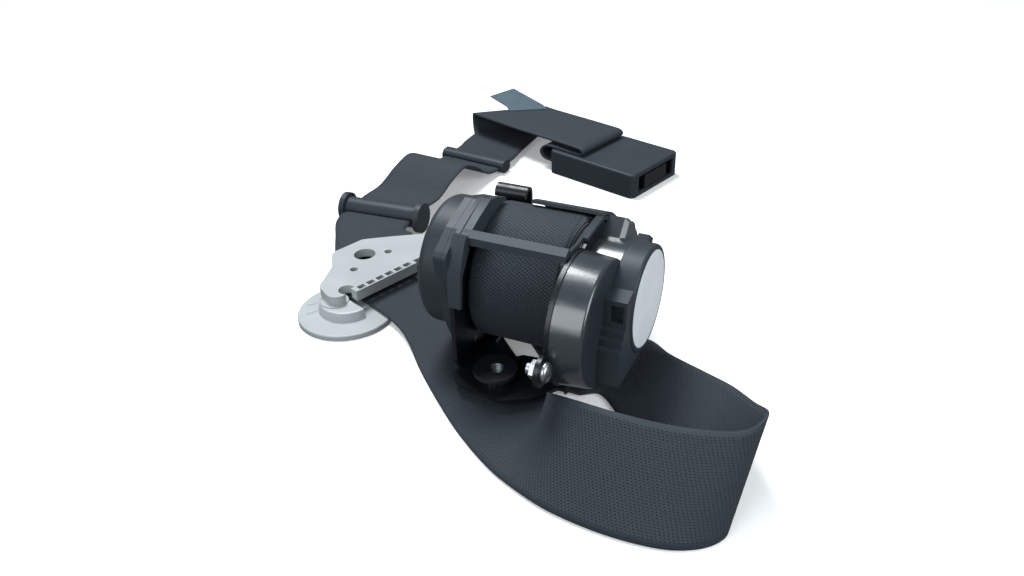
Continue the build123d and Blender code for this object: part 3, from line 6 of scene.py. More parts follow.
# %% Load the frame
import bpy
import bmesh
import json
from math import atan2, ceil, cos, hypot, pi, radians, sin
from mathutils import Matrix, Vector

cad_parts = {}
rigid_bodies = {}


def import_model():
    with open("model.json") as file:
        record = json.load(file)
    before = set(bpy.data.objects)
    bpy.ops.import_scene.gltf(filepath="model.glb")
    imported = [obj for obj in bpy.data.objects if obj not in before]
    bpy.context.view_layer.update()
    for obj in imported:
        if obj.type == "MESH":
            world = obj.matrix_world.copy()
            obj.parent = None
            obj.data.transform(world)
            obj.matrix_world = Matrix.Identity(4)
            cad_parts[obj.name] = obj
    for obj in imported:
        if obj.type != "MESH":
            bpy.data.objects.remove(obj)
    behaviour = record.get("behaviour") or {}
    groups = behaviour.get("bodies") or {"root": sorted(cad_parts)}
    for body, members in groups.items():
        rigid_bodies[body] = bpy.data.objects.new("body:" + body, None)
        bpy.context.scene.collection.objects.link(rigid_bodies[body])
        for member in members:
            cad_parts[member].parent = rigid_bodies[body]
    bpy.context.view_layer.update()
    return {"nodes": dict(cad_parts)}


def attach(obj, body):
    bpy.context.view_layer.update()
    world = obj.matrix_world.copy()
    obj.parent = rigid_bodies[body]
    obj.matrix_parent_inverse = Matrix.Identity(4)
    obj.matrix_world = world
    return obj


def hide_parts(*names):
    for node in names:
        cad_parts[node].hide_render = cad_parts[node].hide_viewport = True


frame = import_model()

# %% [markdown]
# Places are easiest to read from the middle of the webbing on the spool, in millimetres: x along the
# spool, y to the rear from the spool's axis, z up from the bench.  One function turns such a place into
# the frame's metres, and nothing else in the file needs to know the offsets.

# %% Places in millimetres
MM = 0.001
MID_X, SPOOL_Y, FLOOR_Z = 7.0, 40.0, -16.0
SPOOL_HEIGHT = 45.0
WEB_WIDTH, WEB_T = 47.0, 1.2
HALF = WEB_WIDTH / 2


def spot(x, y, z):
    """Place in the frame, in metres, of a point given in bench millimetres."""
    return Vector((MID_X + x, SPOOL_Y + y, FLOOR_Z + z)) * MM


print("bench under the bush:", spot(-MID_X, -SPOOL_Y, 0))

# %% [markdown]
# The camera stands in front and to the right of the retractor, turned 26 degrees to the left and looking
# down at about 32 degrees, with a slight roll.  Its three axes are worked out from those angles, and they
# become the columns of the camera's matrix.

# %% Camera
TURN, TILT, ROLL = radians(26.0), radians(31.6), radians(-1.9)
CAMERA_PLACE = (148.9, -339.3, 266.7)
LENS, SENSOR, NEAREST = 31.64, 36.0, 0.01
look = Vector((-sin(TURN) * cos(TILT), cos(TURN) * cos(TILT), -sin(TILT)))
flat_right = Vector((cos(TURN), sin(TURN), 0))
flat_up = flat_right.cross(look)
right = flat_right * cos(ROLL) + flat_up * sin(ROLL)
up = flat_up * cos(ROLL) - flat_right * sin(ROLL)
camera = bpy.data.objects.new("camera", bpy.data.cameras.new("camera"))
scene = bpy.context.scene
scene.collection.objects.link(camera)
camera.data.lens = LENS
camera.data.sensor_width = SENSOR
camera.data.clip_start = NEAREST
camera.matrix_world = Matrix.Translation(spot(*CAMERA_PLACE)) @ Matrix((right, up, -look)).transposed().to_4x4()
scene.camera = camera
print("camera at", camera.matrix_world.translation)

# %% [markdown]
# Soft light from three sides.  A strong lamp high up at the left rear lights the tops and draws the pale
# bands along the curved covers, a weak one in front draws the band on the drum, and one at the right
# lights the ends.  The Standard view keeps the white of the bench at full white.

# %% Lamps and surroundings
scene.view_settings.view_transform = "Standard"
SURROUND_TINT, SURROUND_STRENGTH = (0.93, 0.965, 1, 1), 0.22
SIDE_TINT = (0.90, 0.96, 1)


def lamp(name, place, target, size, watts, tint):
    """Square area lamp at a place that faces a target, both in bench millimetres."""
    light = bpy.data.objects.new(name, bpy.data.lights.new(name, "AREA"))
    scene.collection.objects.link(light)
    light.data.size = size
    light.data.energy = watts
    light.data.color = tint
    light.location = spot(*place)
    light.rotation_euler = (spot(*target) - spot(*place)).to_track_quat("-Z", "Y").to_euler()


lamp("lamp_above", (-420, 350, 1060), (0, 40, 20), 0.45, 16.0, (0.93, 0.97, 1))
lamp("lamp_front", (-150, -565, 377), (20, 0, 60), 0.45, 2.6, SIDE_TINT)
lamp("lamp_right", (620, -160, 400), (40, 0, 40), 0.5, 4.2, SIDE_TINT)

world = bpy.data.worlds.new("surroundings")
scene.world = world
world.use_nodes = True
world.node_tree.nodes["Background"].inputs["Color"].default_value = SURROUND_TINT
world.node_tree.nodes["Background"].inputs["Strength"].default_value = SURROUND_STRENGTH

# %% [markdown]
# Shader sums read best as sums.  This small class holds one output of a node and lets Python's own signs
# add the Math nodes.  The reflected signs are there too, so that 1 - mask works.

# %% Shader sums as expressions


class Wire:
    """One node output that can be used in sums."""

    def __init__(self, finish, socket):
        self.finish = finish
        self.socket = socket

    def maths(self, operation, *values):
        return self.finish.node("Math", {"operation": operation}, *values)

    def __add__(self, other):
        return self.maths("ADD", self, other)

    def __sub__(self, other):
        return self.maths("SUBTRACT", self, other)

    def __rsub__(self, other):
        return self.maths("SUBTRACT", other, self)

    def __mul__(self, other):
        return self.maths("MULTIPLY", self, other)

    def __truediv__(self, other):
        return self.maths("DIVIDE", self, other)

    __radd__ = __add__
    __rmul__ = __mul__

    def sin(self):
        return self.maths("SINE", self)

    def floor(self):
        return self.maths("FLOOR", self)

    def abs(self):
        return self.maths("ABSOLUTE", self)

    def fraction(self):
        return self.maths("FRACT", self)

    def root(self):
        return self.maths("SQRT", self)

    def step(self, low, high):
        """0 below low, 1 above high, and smooth between."""
        return self.finish.node("MapRange", {"interpolation_type": "SMOOTHSTEP"}, self, low, high, 0.0, 1.0)


print("sums:", [name for name in vars(Wire) if name.startswith("__r")])

# %% [markdown]
# A finish is one material round one Principled shader.  Its method `node` makes any node from a type, its
# settings and what goes into its sockets, so each finish below is a few lines.  Patterns read Object
# coordinates, which stay on the piece when it moves.

# %% A finish


class Finish:
    """One material with a Principled shader, built from expressions."""

    def __init__(self, name, **sockets):
        self.material = bpy.data.materials.new(name)
        self.material.use_nodes = True
        self.tree = self.material.node_tree
        self.shader = self.tree.nodes["Principled BSDF"]
        self.set(**sockets)

    def feed(self, target, value):
        if isinstance(value, Wire):
            self.tree.links.new(value.socket, target)
        elif target.type == "RGBA" and len(value) == 3:
            target.default_value = (*value, 1)
        else:
            target.default_value = value

    def node(self, kind, settings=None, *values, output=0, **named):
        made = self.tree.nodes.new("ShaderNode" + kind)
        for name, value in (settings or {}).items():
            setattr(made, name, value)
        for socket, value in zip(made.inputs, values):
            self.feed(socket, value)
        for name, value in named.items():
            self.feed(made.inputs[name.replace("_", " ")], value)
        return Wire(self, made.outputs[output])

    def axes(self, coordinates):
        """The three numbers of a kind of texture coordinate."""
        where = self.node("TexCoord", None, output=coordinates)
        split = self.node("SeparateXYZ", None, where).socket.node
        return [Wire(self, number) for number in split.outputs]

    def mix(self, amount, first, second):
        """Colour between two colours."""
        made = self.tree.nodes.new("ShaderNodeMix")
        made.data_type = "RGBA"
        for socket, value in ((0, amount), (6, first), (7, second)):
            self.feed(made.inputs[socket], value)
        return Wire(self, made.outputs[2])

    def noise(self, scale, detail=3.0):
        """Noise from 0 to 1 in the object's own coordinates, its scale in grains per metre."""
        where = self.node("TexCoord", None, output="Object")
        return self.node("TexNoise", None, Vector=where, Scale=scale, Detail=detail)

    def bump(self, height, depth, strength=1.0):
        """Feeds the shader's normal with a height from 0 to 1 that stands for a depth in metres."""
        made = self.node("Bump", None, Height=height, Distance=depth, Strength=strength)
        self.feed(self.shader.inputs["Normal"], made)

    def set(self, **sockets):
        for socket, value in sockets.items():
            self.feed(self.shader.inputs[socket.replace("_", " ")], value)
        return self.material


print("finish methods:", [name for name in vars(Finish) if not name.startswith("_")])

# %% [markdown]
# The bench is one large square a hair below the lowest point.  It glows a little, so its shadows stay
# light, and it lights and reflects in nothing: a bench that filled every gloss from below would leave no
# dark undersides.  It is stage and no part of the belt.

# %% Bench
BENCH_HALF, BENCH_DROP = 6.0, 0.05
BENCH_GLOW = 0.19
bench_finish = Finish("bench_white", Roughness=0.9)
bench_finish.set(
    Base_Color=(0.9, 0.9, 0.9), Specular_IOR_Level=0.0, Emission_Color=(1, 1, 1), Emission_Strength=BENCH_GLOW)
bench = bmesh.new()
bench_place = Matrix.Translation(spot(0, 0, -BENCH_DROP))
bmesh.ops.create_grid(bench, x_segments=1, y_segments=1, size=BENCH_HALF, matrix=bench_place)
bench_mesh = bpy.data.meshes.new("bench")
bench.to_mesh(bench_mesh)
bench.free()
bench_mesh.materials.append(bench_finish.material)
bench_top = bpy.data.objects.new("bench", bench_mesh)
scene.collection.objects.link(bench_top)
bench_top.visible_diffuse = False
bench_top.visible_glossy = False
print("bench top at", round(bench_top.bound_box[0][2], 5))

# %% [markdown]
# Seat belt webbing is a polyester twill about 47 mm wide.  Seen close, its face is a flat field of fine
# yarns with one small dark pit wherever a warp yarn dips under the weft, and each row of pits is shifted
# against the next, so the pits line up on slants.  The UV map of every webbing piece is in millimetres,
# u along the belt and v across it, so the rows follow each fold.  A pit is a distance: how far a point
# lies from the middle of its cell.  The outermost rows are woven tighter and look like a smooth cord.
# The weave's height gives the bump and also the colour, near black in the pits and between the rows and
# lighter on the yarn tops: that colour is painted shade in the hollows of the weave.

# %% Webbing finish
PIT_PITCH, WEFT_PITCH, YARN_PITCH, ROW_SHIFT = 1.7, 1.15, 0.57, 0.382
PIT_INNER, PIT_OUTER = 0.16, 0.60
WOBBLE_SCALE, CLOUD_SCALE = 300.0, 38.0
CORD_PITCH, CORD_START, CORD_FULL = 0.8, 2.2, 1.5
FIELD, CROWN, YARN, PIT = 0.72, 0.16, 0.12, 0.72
WEAVE_DEPTH = 0.00045


def webbing_finish(name, dark, light):
    finish = Finish(name)
    along, over, _ = finish.axes("UV")
    wobble = finish.noise(WOBBLE_SCALE, 2.0)
    row = over / WEFT_PITCH + wobble * 0.22
    stitch = along / PIT_PITCH + row.floor() * ROW_SHIFT + wobble * 0.3
    aside = (stitch.fraction() - 0.5) * PIT_PITCH
    across = (row.fraction() - 0.5) * (1.5 * WEFT_PITCH)
    pit = 1 - (aside * aside + across * across).root().step(PIT_INNER, PIT_OUTER)
    yarn = (along * (2 * pi / YARN_PITCH) + wobble * 3.0).sin() * 0.5 + 0.5
    crown = (row.fraction() * pi).sin().abs()
    weave = FIELD + crown * CROWN + yarn * YARN - pit * PIT
    from_middle = (over - HALF).abs()
    edge = from_middle.step(HALF - CORD_START, HALF - CORD_FULL)
    cord = (from_middle * (pi / CORD_PITCH)).sin().abs()
    height = weave * (1 - edge) + (cord * 0.25 + 0.6) * edge
    cloudy = finish.noise(CLOUD_SCALE, 3.0).step(0.3, 0.7)
    # Painted shade: the colour follows the weave's height, so the pits and the gaps between rows are painted near
    # black and the yarn tops light.
    tint = finish.mix(height.step(0.1, 0.85), dark, light)
    finish.set(Base_Color=finish.mix(cloudy * 0.22, tint, tuple(0.7 * c for c in light)))
    finish.set(Roughness=0.74 - height * 0.14, Sheen_Weight=0.04, Sheen_Roughness=0.4, Specular_IOR_Level=0.3)
    finish.bump(height, WEAVE_DEPTH)
    return finish.material


# The first colour is the painted shade of the weave's hollows, the second the colour of the yarn tops.
webbing = webbing_finish("webbing_twill", (0.0006, 0.0009, 0.0012), (0.024, 0.033, 0.043))
print("webbing finish with", len(webbing.node_tree.nodes), "nodes")

# %% [markdown]
# The hard pieces need few finishes.  Moulded plastic has a fine spark-eroded grain and a faint unevenness
# in its gloss.  Steel is more or less metallic, with a soft grain and darker stains; the coated frame is
# nearly black.  All patterns are in Object coordinates, so they stay on the piece.

# %% Finishes of the hard pieces
CLOUD, STAIN = 45.0, 120.0


def moulded(name, colour, roughness, grain=1500.0, depth=0.000012, gloss=0.4):
    """Plastic with a moulded grain, its grains per metre and their depth in metres."""
    finish = Finish(name, Specular_IOR_Level=gloss)
    grainy = finish.noise(grain, 2.0)
    cloudy = finish.noise(CLOUD, 4.0)
    darker, lighter = (tuple(min(1, share * c) for c in colour) for share in (0.82, 1.18))
    finish.set(Base_Color=finish.mix(cloudy, darker, lighter))
    finish.set(Roughness=cloudy * 0.12 + grainy * 0.08 + (roughness - 0.1))
    finish.bump(grainy, depth, 0.6)
    return finish.material


def steel(name, colour, roughness, metal=1.0, grain=900.0, depth=0.00003):
    """Plated or coated steel with stains in its colour."""
    finish = Finish(name, Metallic=metal)
    grainy = finish.noise(grain, 4.0)
    stain = finish.noise(STAIN, 5.0).step(0.45, 0.8)
    finish.set(Base_Color=finish.mix(stain, colour, tuple(0.6 * c for c in colour)))
    finish.set(Roughness=grainy * 0.2 + stain * 0.1 + (roughness - 0.1))
    finish.bump(grainy, depth, 0.5)
    return finish.material


charcoal = moulded("charcoal_plastic", (0.027, 0.036, 0.043), 0.46, gloss=0.25)
charcoal_dark = moulded("dark_plastic", (0.006, 0.008, 0.011), 0.40)
charcoal_gloss = moulded("gloss_plastic", (0.024, 0.031, 0.037), 0.23, 700.0, 0.0, 1.0)
guide_grey = moulded("guide_grey", (0.38, 0.405, 0.41), 0.42, 1100.0, 0.00001)
insert_grey = moulded("insert_grey", (0.26, 0.29, 0.31), 0.5, 1100.0, 0.00003)
steel_coated = steel("coated_steel", (0.007, 0.009, 0.012), 0.34, 0.3)
steel_plated = steel("plated_steel", (0.40, 0.43, 0.45), 0.36)
steel_dark = steel("dark_steel", (0.10, 0.11, 0.12), 0.4)
label_film = moulded("label_film", (0.78, 0.83, 0.85), 0.34, 300.0, 0.00001)
flap_cloth = moulded("flap_cloth", (0.062, 0.094, 0.118), 0.6, 2400.0, 0.00005)
board_green = moulded("board_green", (0.02, 0.10, 0.05), 0.4)
print("finishes:", len(bpy.data.materials))

# %% [markdown]
# The rigid solids carry over from the CAD with their exact places.  A copy of each node has its loose
# triangles merged and its flat faces joined, so its sharp edges can be rounded with a real bevel, which
# catches the light as a moulded or pressed edge does.  The node itself stays hidden for collision.

# %% From a bmesh to a piece


def to_object(shape, name, finish, body, smooth=True):
    """Turns a finished bmesh into a piece at the origin that rides on a body."""
    for face in shape.faces:
        face.smooth = smooth
    mesh = bpy.data.meshes.new(name)
    shape.to_mesh(mesh)
    shape.free()
    for material in finish if isinstance(finish, list) else [finish]:
        mesh.materials.append(material)
    piece = bpy.data.objects.new(name, mesh)
    scene.collection.objects.link(piece)
    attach(piece, body)
    return piece


node_body = {}
for name, thing in frame["nodes"].items():
    node_body[name] = thing.parent.name.removeprefix("body:")

# %% [markdown]
# Rounding goes by angle.  An edge that turns by more than the corner angle is bevelled, and whatever still
# turns by more than the smooth angle afterwards is shaded sharp.  Weighted normals then keep the large
# faces flat beside their narrow bevels.

# %% Dressed copies of the rigid solids
CORNER, SMOOTH, FLAT = radians(38.0), radians(34.0), radians(0.6)
MERGE = 0.000004


def merged_copy(node):
    """The node's mesh as one closed bmesh with whole flat faces."""
    shape = bmesh.new()
    shape.from_mesh(frame["nodes"][node].data)
    bmesh.ops.remove_doubles(shape, verts=shape.verts, dist=MERGE)
    bmesh.ops.dissolve_limit(
        shape, angle_limit=FLAT, verts=shape.verts, edges=shape.edges, delimit={"NORMAL"})
    return shape


def shade_by_angle(shape):
    for edge in shape.edges:
        edge.smooth = not edge.is_manifold or edge.calc_face_angle(0) < SMOOTH


def round_edges(shape, width):
    """Bevels every corner edge to a width in millimetres."""
    if width:
        corners = [e for e in shape.edges if e.is_manifold and e.calc_face_angle(0) > CORNER]
        bmesh.ops.bevel(
            shape, geom=corners, offset=width * MM, offset_type="OFFSET", affect="EDGES", segments=2,
            profile=0.5, clamp_overlap=True, material=-1)
    shade_by_angle(shape)


def dressed(node, finish, width):
    """Bevelled copy of a CAD node that stands for it."""
    shape = merged_copy(node)
    round_edges(shape, width)
    piece = to_object(shape, node + "_dressed", finish, node_body[node])
    even = piece.modifiers.new("even_shading", "WEIGHTED_NORMAL")
    even.keep_sharp = True
    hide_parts(node)
    return len(piece.data.polygons)


print("frame of the retractor:", dressed("frame", steel_coated, 0.3), "faces")

# %% [markdown]
# Every other rigid node in one table: its finish, and the width of its bevel in millimetres.  Moulded
# covers have wide rounds, pressed steel narrow ones, and springs and balls none.

# %% Which node gets which finish
RIGID = {
    "anchor_bush": (steel_dark, 0.15), "spool": (charcoal_dark, 0.2), "spool_bushes": (charcoal_dark, 0.15),
    "lock_base": (charcoal, 0.3), "ratchet_wheel": (steel_plated, 0.1), "locking_pawl": (steel_plated, 0.15),
    "pawl_pin": (steel_plated, 0.15), "sensor_housing": (charcoal, 0.2), "sensor_ball": (steel_plated, 0),
    "sensor_lever": (charcoal, 0.1), "spring_cover": (charcoal, 1.2), "spring_divider": (charcoal, 0.2),
    "spring_arbor": (charcoal_dark, 0.15), "mainspring": (steel_plated, 0), "drive_housing": (charcoal_gloss, 0.7),
    "spool_gear": (charcoal_dark, 0.05), "motor_rotor": (steel_dark, 0.1), "motor_pinion": (steel_plated, 0.05),
    "motor_stator": (steel_dark, 0.1), "control_cover": (charcoal, 0.7), "cover_label": (label_film, 0.12),
    "circuit_board": (board_green, 0.1), "plug_housing": (charcoal, 0.5), "plug_pins": (steel_plated, 0.1),
    "tensioner_tube": (steel_dark, 0.3), "gas_generator": (steel_plated, 0.3), "webbing_guide": (charcoal, 0.3),
    "cover_screws": (steel_plated, 0.15), "drive_screws": (steel_plated, 0.15), "harness_screw": (steel_plated, 0.2),
    "harness_nut": (steel_plated, 0.2), "label_flap": (flap_cloth, 0.15), "guide_body": (guide_grey, 0.5),
    "guide_insert": (insert_grey, 0.2), "tongue_grip": (charcoal, 0.8), "tongue_blade": (steel_coated, 0.3),
    "keeper_clip": (charcoal, 0.6), "connector_lower": (charcoal, 0.6), "connector_upper": (charcoal, 0.8),
    "connector_frame": (steel_plated, 0.2), "anchor_pin": (steel_plated, 0.3), "latch_pin": (steel_plated, 0.2),
    "connector_latch": (steel_plated, 0.2), "release_button": (charcoal_dark, 0.4),
    "button_spring": (steel_plated, 0), "connector_screws": (steel_plated, 0.1), "torsion_bar": (steel_dark, 0.2),
    "webbing_pin": (steel_plated, 0.2)}
face_counts = {node: dressed(node, finish, width) for node, (finish, width) in RIGID.items()}
print("dressed:", len(face_counts), "more, the finest is", max(face_counts, key=face_counts.get))

# %% [markdown]
# A few small round things carry more shape than the CAD gives them, and so does the wound webbing later.
# A lathe makes each of them from one outline, spun round an axis.  A part turn leaves its two end faces
# open, so those are filled.  Merging comes before the normals are recalculated, because a spin can leave
# a shape inside out.

# %% Lathe
SPUN_MERGE = 1e-6


def lathe_shape(outline, centre, axis, start, steps, turn=360, closed=False):
    """Bmesh of an outline of (distance along the axis, radius) spun from a start direction."""
    axis, side = Vector(axis), Vector(start)
    shape = bmesh.new()
    corners = [shape.verts.new(spot(*centre) + (axis * far + side * radius) * MM) for far, radius in outline]
    followers = corners[1:] + (corners[:1] if closed else [])
    line = [shape.edges.new(pair) for pair in zip(corners, followers)]
    bmesh.ops.spin(
        shape, geom=corners + line, cent=spot(*centre), axis=axis, angle=radians(turn), steps=steps,
        use_merge=turn == 360, use_duplicate=False)
    bmesh.ops.remove_doubles(shape, verts=shape.verts, dist=SPUN_MERGE)
    if turn < 360:
        bmesh.ops.holes_fill(shape, edges=[e for e in shape.edges if e.is_boundary])
    bmesh.ops.recalc_face_normals(shape, faces=shape.faces)
    return shape


def lathe(name, outline, centre, axis, finish, body, start, steps=48, turn=360):
    """Piece of lathe work with its sharp edges kept."""
    shape = lathe_shape(outline, centre, axis, start, steps, turn)
    shade_by_angle(shape)
    print(name, "has", len(to_object(shape, name, finish, body).data.polygons), "faces")


# %% [markdown]
# The harness screw has a domed head on a thin washer, at the frame's front ear.  The bush on the base
# shows a few turns of thread inside its bore.  The first is a quarter circle on a short wall, and the
# second is a zigzag, which reads as a thread at this size although its turns are rings.

# %% Screw dome and bush thread
EAR = (27.5, -63.6, 39.9)
HEAD_R, WASHER_T, DOME_RISE, DOME_STEPS = 4.5, 0.9, 2.6, 8
lifts = [t * pi / (2 * DOME_STEPS) for t in range(1, DOME_STEPS)]
dome = [(0, 0), (0, HEAD_R), (WASHER_T, HEAD_R)]
dome += [(WASHER_T + DOME_RISE * sin(lift), HEAD_R * cos(lift)) for lift in lifts]
dome += [(WASHER_T + DOME_RISE, 0)]
lathe("harness_screw_dome", dome, EAR, (1, 0, 0), steel_plated, "base", (0, 0, 1))

BORE_R, CREST_R, ROOT_R, THREAD_Z = 4.25, 3.75, 4.22, 7.6
PITCH, TURNS = 1.1, 7
thread = [(0, BORE_R - 0.01), (0, BORE_R)]
for k in range(TURNS):
    thread += [((k + 0.5) * PITCH, CREST_R), ((k + 1) * PITCH, ROOT_R)]
lathe("bush_thread", thread[::-1], (-MID_X, -SPOOL_Y, THREAD_Z), (0, 0, 1), steel_dark, "base", (1, 0, 0))

# %% [markdown]
# The guide's disc carries a raised collar round the eye where the webbing's slot ends, and two short slits
# beside it.  The collar is half a turn only: a whole one would stand in the webbing's way.  Its outline is
# (height, radius).  The slits are flat bars a tenth of a millimetre proud, in the insert's darker grey as
# painted shade, since a cut so narrow would only show its shade.

# %% Collar and slits on the guide
GUIDE_X, GUIDE_Y, GUIDE_HEADING = -103.0, 23.5, -20.0
LIP_T = 3.0
EYE = (-113.6, -5.6, LIP_T)
COLLAR = [(0, 0), (0, 16.2), (3.7, 15.2), (4.7, 14.6), (5.0, 13.8), (5.0, 13.2), (5.0, 0)]
backwards = (-cos(radians(GUIDE_HEADING)), -sin(radians(GUIDE_HEADING)), 0)
lathe("guide_collar", COLLAR, EYE, (0, 0, 1), guide_grey, "guide_body_moving", backwards, 32, 180)

SLITS = [((-135.4, -13.5), (-131.5, -9.7)), ((-130.2, -21.1), (-127.0, -16.0))]
SLIT_WIDTH, SLIT_DEPTH = 0.7, 0.2
# Painted shade: dark bars stand where the narrow slits would show only their shade.
slit_shade_bars = bmesh.new()
for (x0, y0), (x1, y1) in SLITS:
    place = Matrix.Translation(spot((x0 + x1) / 2, (y0 + y1) / 2, LIP_T))
    heading = Matrix.Rotation(atan2(y1 - y0, x1 - x0), 4, "Z")
    size = Matrix.Diagonal((hypot(x1 - x0, y1 - y0) * MM, SLIT_WIDTH * MM, SLIT_DEPTH * MM, 1))
    bmesh.ops.create_cube(slit_shade_bars, size=1.0, matrix=place @ heading @ size)
to_object(slit_shade_bars, "guide_slits", insert_grey, "guide_body_moving", smooth=False)
print("slits in the disc:", len(SLITS))

# %% [markdown]
# The belt is one strap from the roll to the connector, so it is one piece.  Straight lines from edge to
# edge sweep along it: wherever real webbing bends, folds on a slant or twists, such lines still lie in
# it.  Two smooth curves carry the edges, through pairs of stations.  The helpers place level webbing by
# its heading, run a smooth curve through stations, and carry the webbing round a crease.

# %% Edge curves of the strap
TINY = 1e-6


def forward_of(x, y, heading, forward, left=0.0):
    """Point some way forward and left of a place with a heading in degrees."""
    turn = radians(heading)
    return (x + forward * cos(turn) - left * sin(turn), y + forward * sin(turn) + left * cos(turn))


def edges_at(x, y, z, heading, forward=0.0):
    """Both edges of level webbing, right edge first."""
    return tuple((*forward_of(x, y, heading, forward, left), z) for left in (-HALF, HALF))


def slope(before, at, after, span):
    """Direction of the curve at a station, as long as the span beside it."""
    return (after - before) * (span / max((after - at).length + (at - before).length, TINY))


def smooth_run(stations, step=2.0):
    """Edge pairs along the smooth curves through some stations, a few millimetres apart."""
    pairs = [tuple(Vector(p) for p in pair) for pair in stations]
    pairs = [pairs[0]] + pairs + [pairs[-1]]
    rows = []
    for before, start, end, after in zip(pairs, pairs[1:], pairs[2:], pairs[3:]):
        reach = max((end[0] - start[0]).length, (end[1] - start[1]).length)
        parts = max(1, ceil(reach / step))
        for t in (k / parts for k in range(parts)):
            row = []
            for p0, p1, p2, p3 in zip(before, start, end, after):
                span = max((p2 - p1).length, TINY)
                row.append(
                    p1 * (2 * t**3 - 3 * t**2 + 1) + slope(p0, p1, p2, span) * (t**3 - 2 * t**2 + t)
                    + p2 * (3 * t**2 - 2 * t**3) + slope(p1, p2, p3, span) * (t**3 - t**2))
            rows.append(tuple(row))
    rows.append(pairs[-1])
    return rows


def turned_edge(first, second, low, high, parts=14):
    """Rows parallel to a slanting crease that carry the webbing round it, from the low layer to the high."""
    first, second = Vector((*first, (low + high) / 2)), Vector((*second, (low + high) / 2))
    crease = second - first
    outward = Vector((-crease.y, crease.x, 0)).normalized()
    size = (high - low) / 2
    rows = []
    for k in range(parts + 1):
        lift = pi * k / parts
        shift = outward * size * sin(lift) - Vector((0, 0, size * cos(lift)))
        rows.append((first + shift, second + shift))
    return rows


print("webbing lying ahead at the spool:", edges_at(0, 0, 0, 0))

# %% [markdown]
# The route starts at the back of the roll, runs down behind it and forward under the base, and turns
# towards the loop at a flat slanting crease.  Then comes the loop, which stands on its lower edge on the
# bench and leans outwards.  Near edge first, as the loop shows it.

# %% Off the roll, round the crease and through the loop
FEED_Z, CREASED_Z = 0.6, 2.1
FEED = [(33.9, 44.5), (33.9, 30), (33.9, 14), (33.4, 8), (31.4, 3.5), (28, 1.2), (24, FEED_Z), (21, FEED_Z)]
CREASE = ((HALF, -27.0), (-HALF, 20.0))
feed = smooth_run([((HALF, y, z), (-HALF, y, z)) for y, z in FEED])
crease = turned_edge(*CREASE, FEED_Z, CREASED_Z, 6)
GUIDED_Z = LIP_T + 0.7 + WEB_T / 2
RING = (GUIDE_X, GUIDE_Y, GUIDE_HEADING)
LOOP = [
    ((30, -27, CREASED_Z), (30, 20, CREASED_Z)), ((38, -22, 1.5), (46, 24, 5)), ((52, -34, 1.2), (63, 9, 10)),
    ((70, -48, 1), (83, -6, 16)), ((88, -60, 1), (99, -22, 24)), ((103, -72, 0.8), (111, -38, 31)),
    ((111, -77, 0.8), (117, -46, 35)), ((113, -84, 0.8), (117.5, -54, 36.5)), ((109, -92, 0.8), (113, -61.5, 36)),
    ((100, -98.5, 0.8), (102, -66, 35)), ((88, -102, 0.8), (85, -68, 33.5)), ((68, -103, 0.8), (64, -69, 33.5)),
    ((46, -100.5, 0.8), (42, -64, 30)), ((31, -96, 0.8), (26, -54.5, 22)), ((13, -88, 0.8), (31, -47, 14.5)),
    ((-9, -73.5, 0.8), (19, -36, 2.6)), ((-28, -58, 0.8), (4, -23.7, 2.4)), ((-49, -39, 1), (-17.5, -4.2, 2)),
    ((-72, -17, 3.6), (-44, 20.6, 3.6)), edges_at(RING[0], RING[1], GUIDED_Z, RING[2], 20),
    edges_at(RING[0], RING[1], GUIDED_Z, RING[2], -14)]
print("rows off the roll:", len(feed), "round the crease:", len(crease), "stations of the loop:", len(LOOP))

# %% [markdown]
# Behind the guide the webbing lies level.  It passes through the tongue, rises in a hump, passes under the
# keeper clip and reaches the round slanting fold.  Each station is a place with a heading, and a last
# number for how far ahead of the place it lies, so the webbing stays straight where a piece slides on it.

# %% Guide, tongue and clip
TONGUE = (-149.0, 89.0, 9.4, 94.0)
CLIP = (-137.0, 194.0, 5.0, 83.0)
TONGUE_STRAIGHT, CLIP_STRAIGHT = 17, 12.5
FOLD_START, FOLD_LOW, FOLD_HIGH, FOLD_OUT = 222.0, 4.4, 20.6, 42.4
lap_x, lap_y = forward_of(*RING, -14)
LAP = [
    (lap_x, lap_y, GUIDED_Z, RING[2] + 180, 3), (-127, 43, 5.4, 137), (-138, 60, 8.4, 119),
    (*TONGUE, -TONGUE_STRAIGHT), (*TONGUE, TONGUE_STRAIGHT), (-147.5, 118, 11, 86), (-145, 134, 18, 85),
    (-143, 149, 21.5, 84), (-141.5, 162, 16, 84), (-140, 173, 8, 83), (*CLIP, -CLIP_STRAIGHT),
    (*CLIP, CLIP_STRAIGHT), (-137, FOLD_START, FOLD_LOW, 90)]
lap = [edges_at(*place)[::-1] for place in LAP]
loop = smooth_run(LOOP + lap)
print("rows from the crease to the fold:", len(loop))

# %% [markdown]
# The fold turns the webbing over on a slant.  From it the webbing runs over the connector's box, bends
# round the box's rear end and goes back into its slot.  The tail's stations are given along the box, from
# its middle, as (forward, height).

# %% Fold and connector
FOLD = ((-160.5, 238.5), (-113.5, 271.5))
BOX = (-41.0, 219.0, -17.0)
SLOT_Z, ON_BOX_Z = 7.5, 17.9
TAIL = [
    (-14, 22.5), (-10.5, 21.8), (-9.2, 20.2), (-10.5, 18.6), (-14, ON_BOX_Z), (-38, ON_BOX_Z), (-44, 16.4),
    (-47, 12.5), (-46, 9.2), (-42, SLOT_Z), (-30.2, SLOT_Z)]
fold = turned_edge(*FOLD, FOLD_LOW, FOLD_HIGH)
leaving = tuple((*forward_of(*FOLD[0], -20.0, FOLD_OUT, left), FOLD_HIGH) for left in (0, WEB_WIDTH))
tail = smooth_run([leaving] + [edges_at(BOX[0], BOX[1], z, BOX[2], forward) for forward, z in TAIL], 1.5)
rows = feed + crease + loop + fold + tail
print("rows along the strap:", len(rows))

# %% [markdown]
# A grid is laid out flat and each of its rows is moved to the line at its distance, with a UV map in
# millimetres for the weave.  A Solidify modifier gives the thickness, half to each side.

# %% Strap mesh
SAME_ROW = 0.05


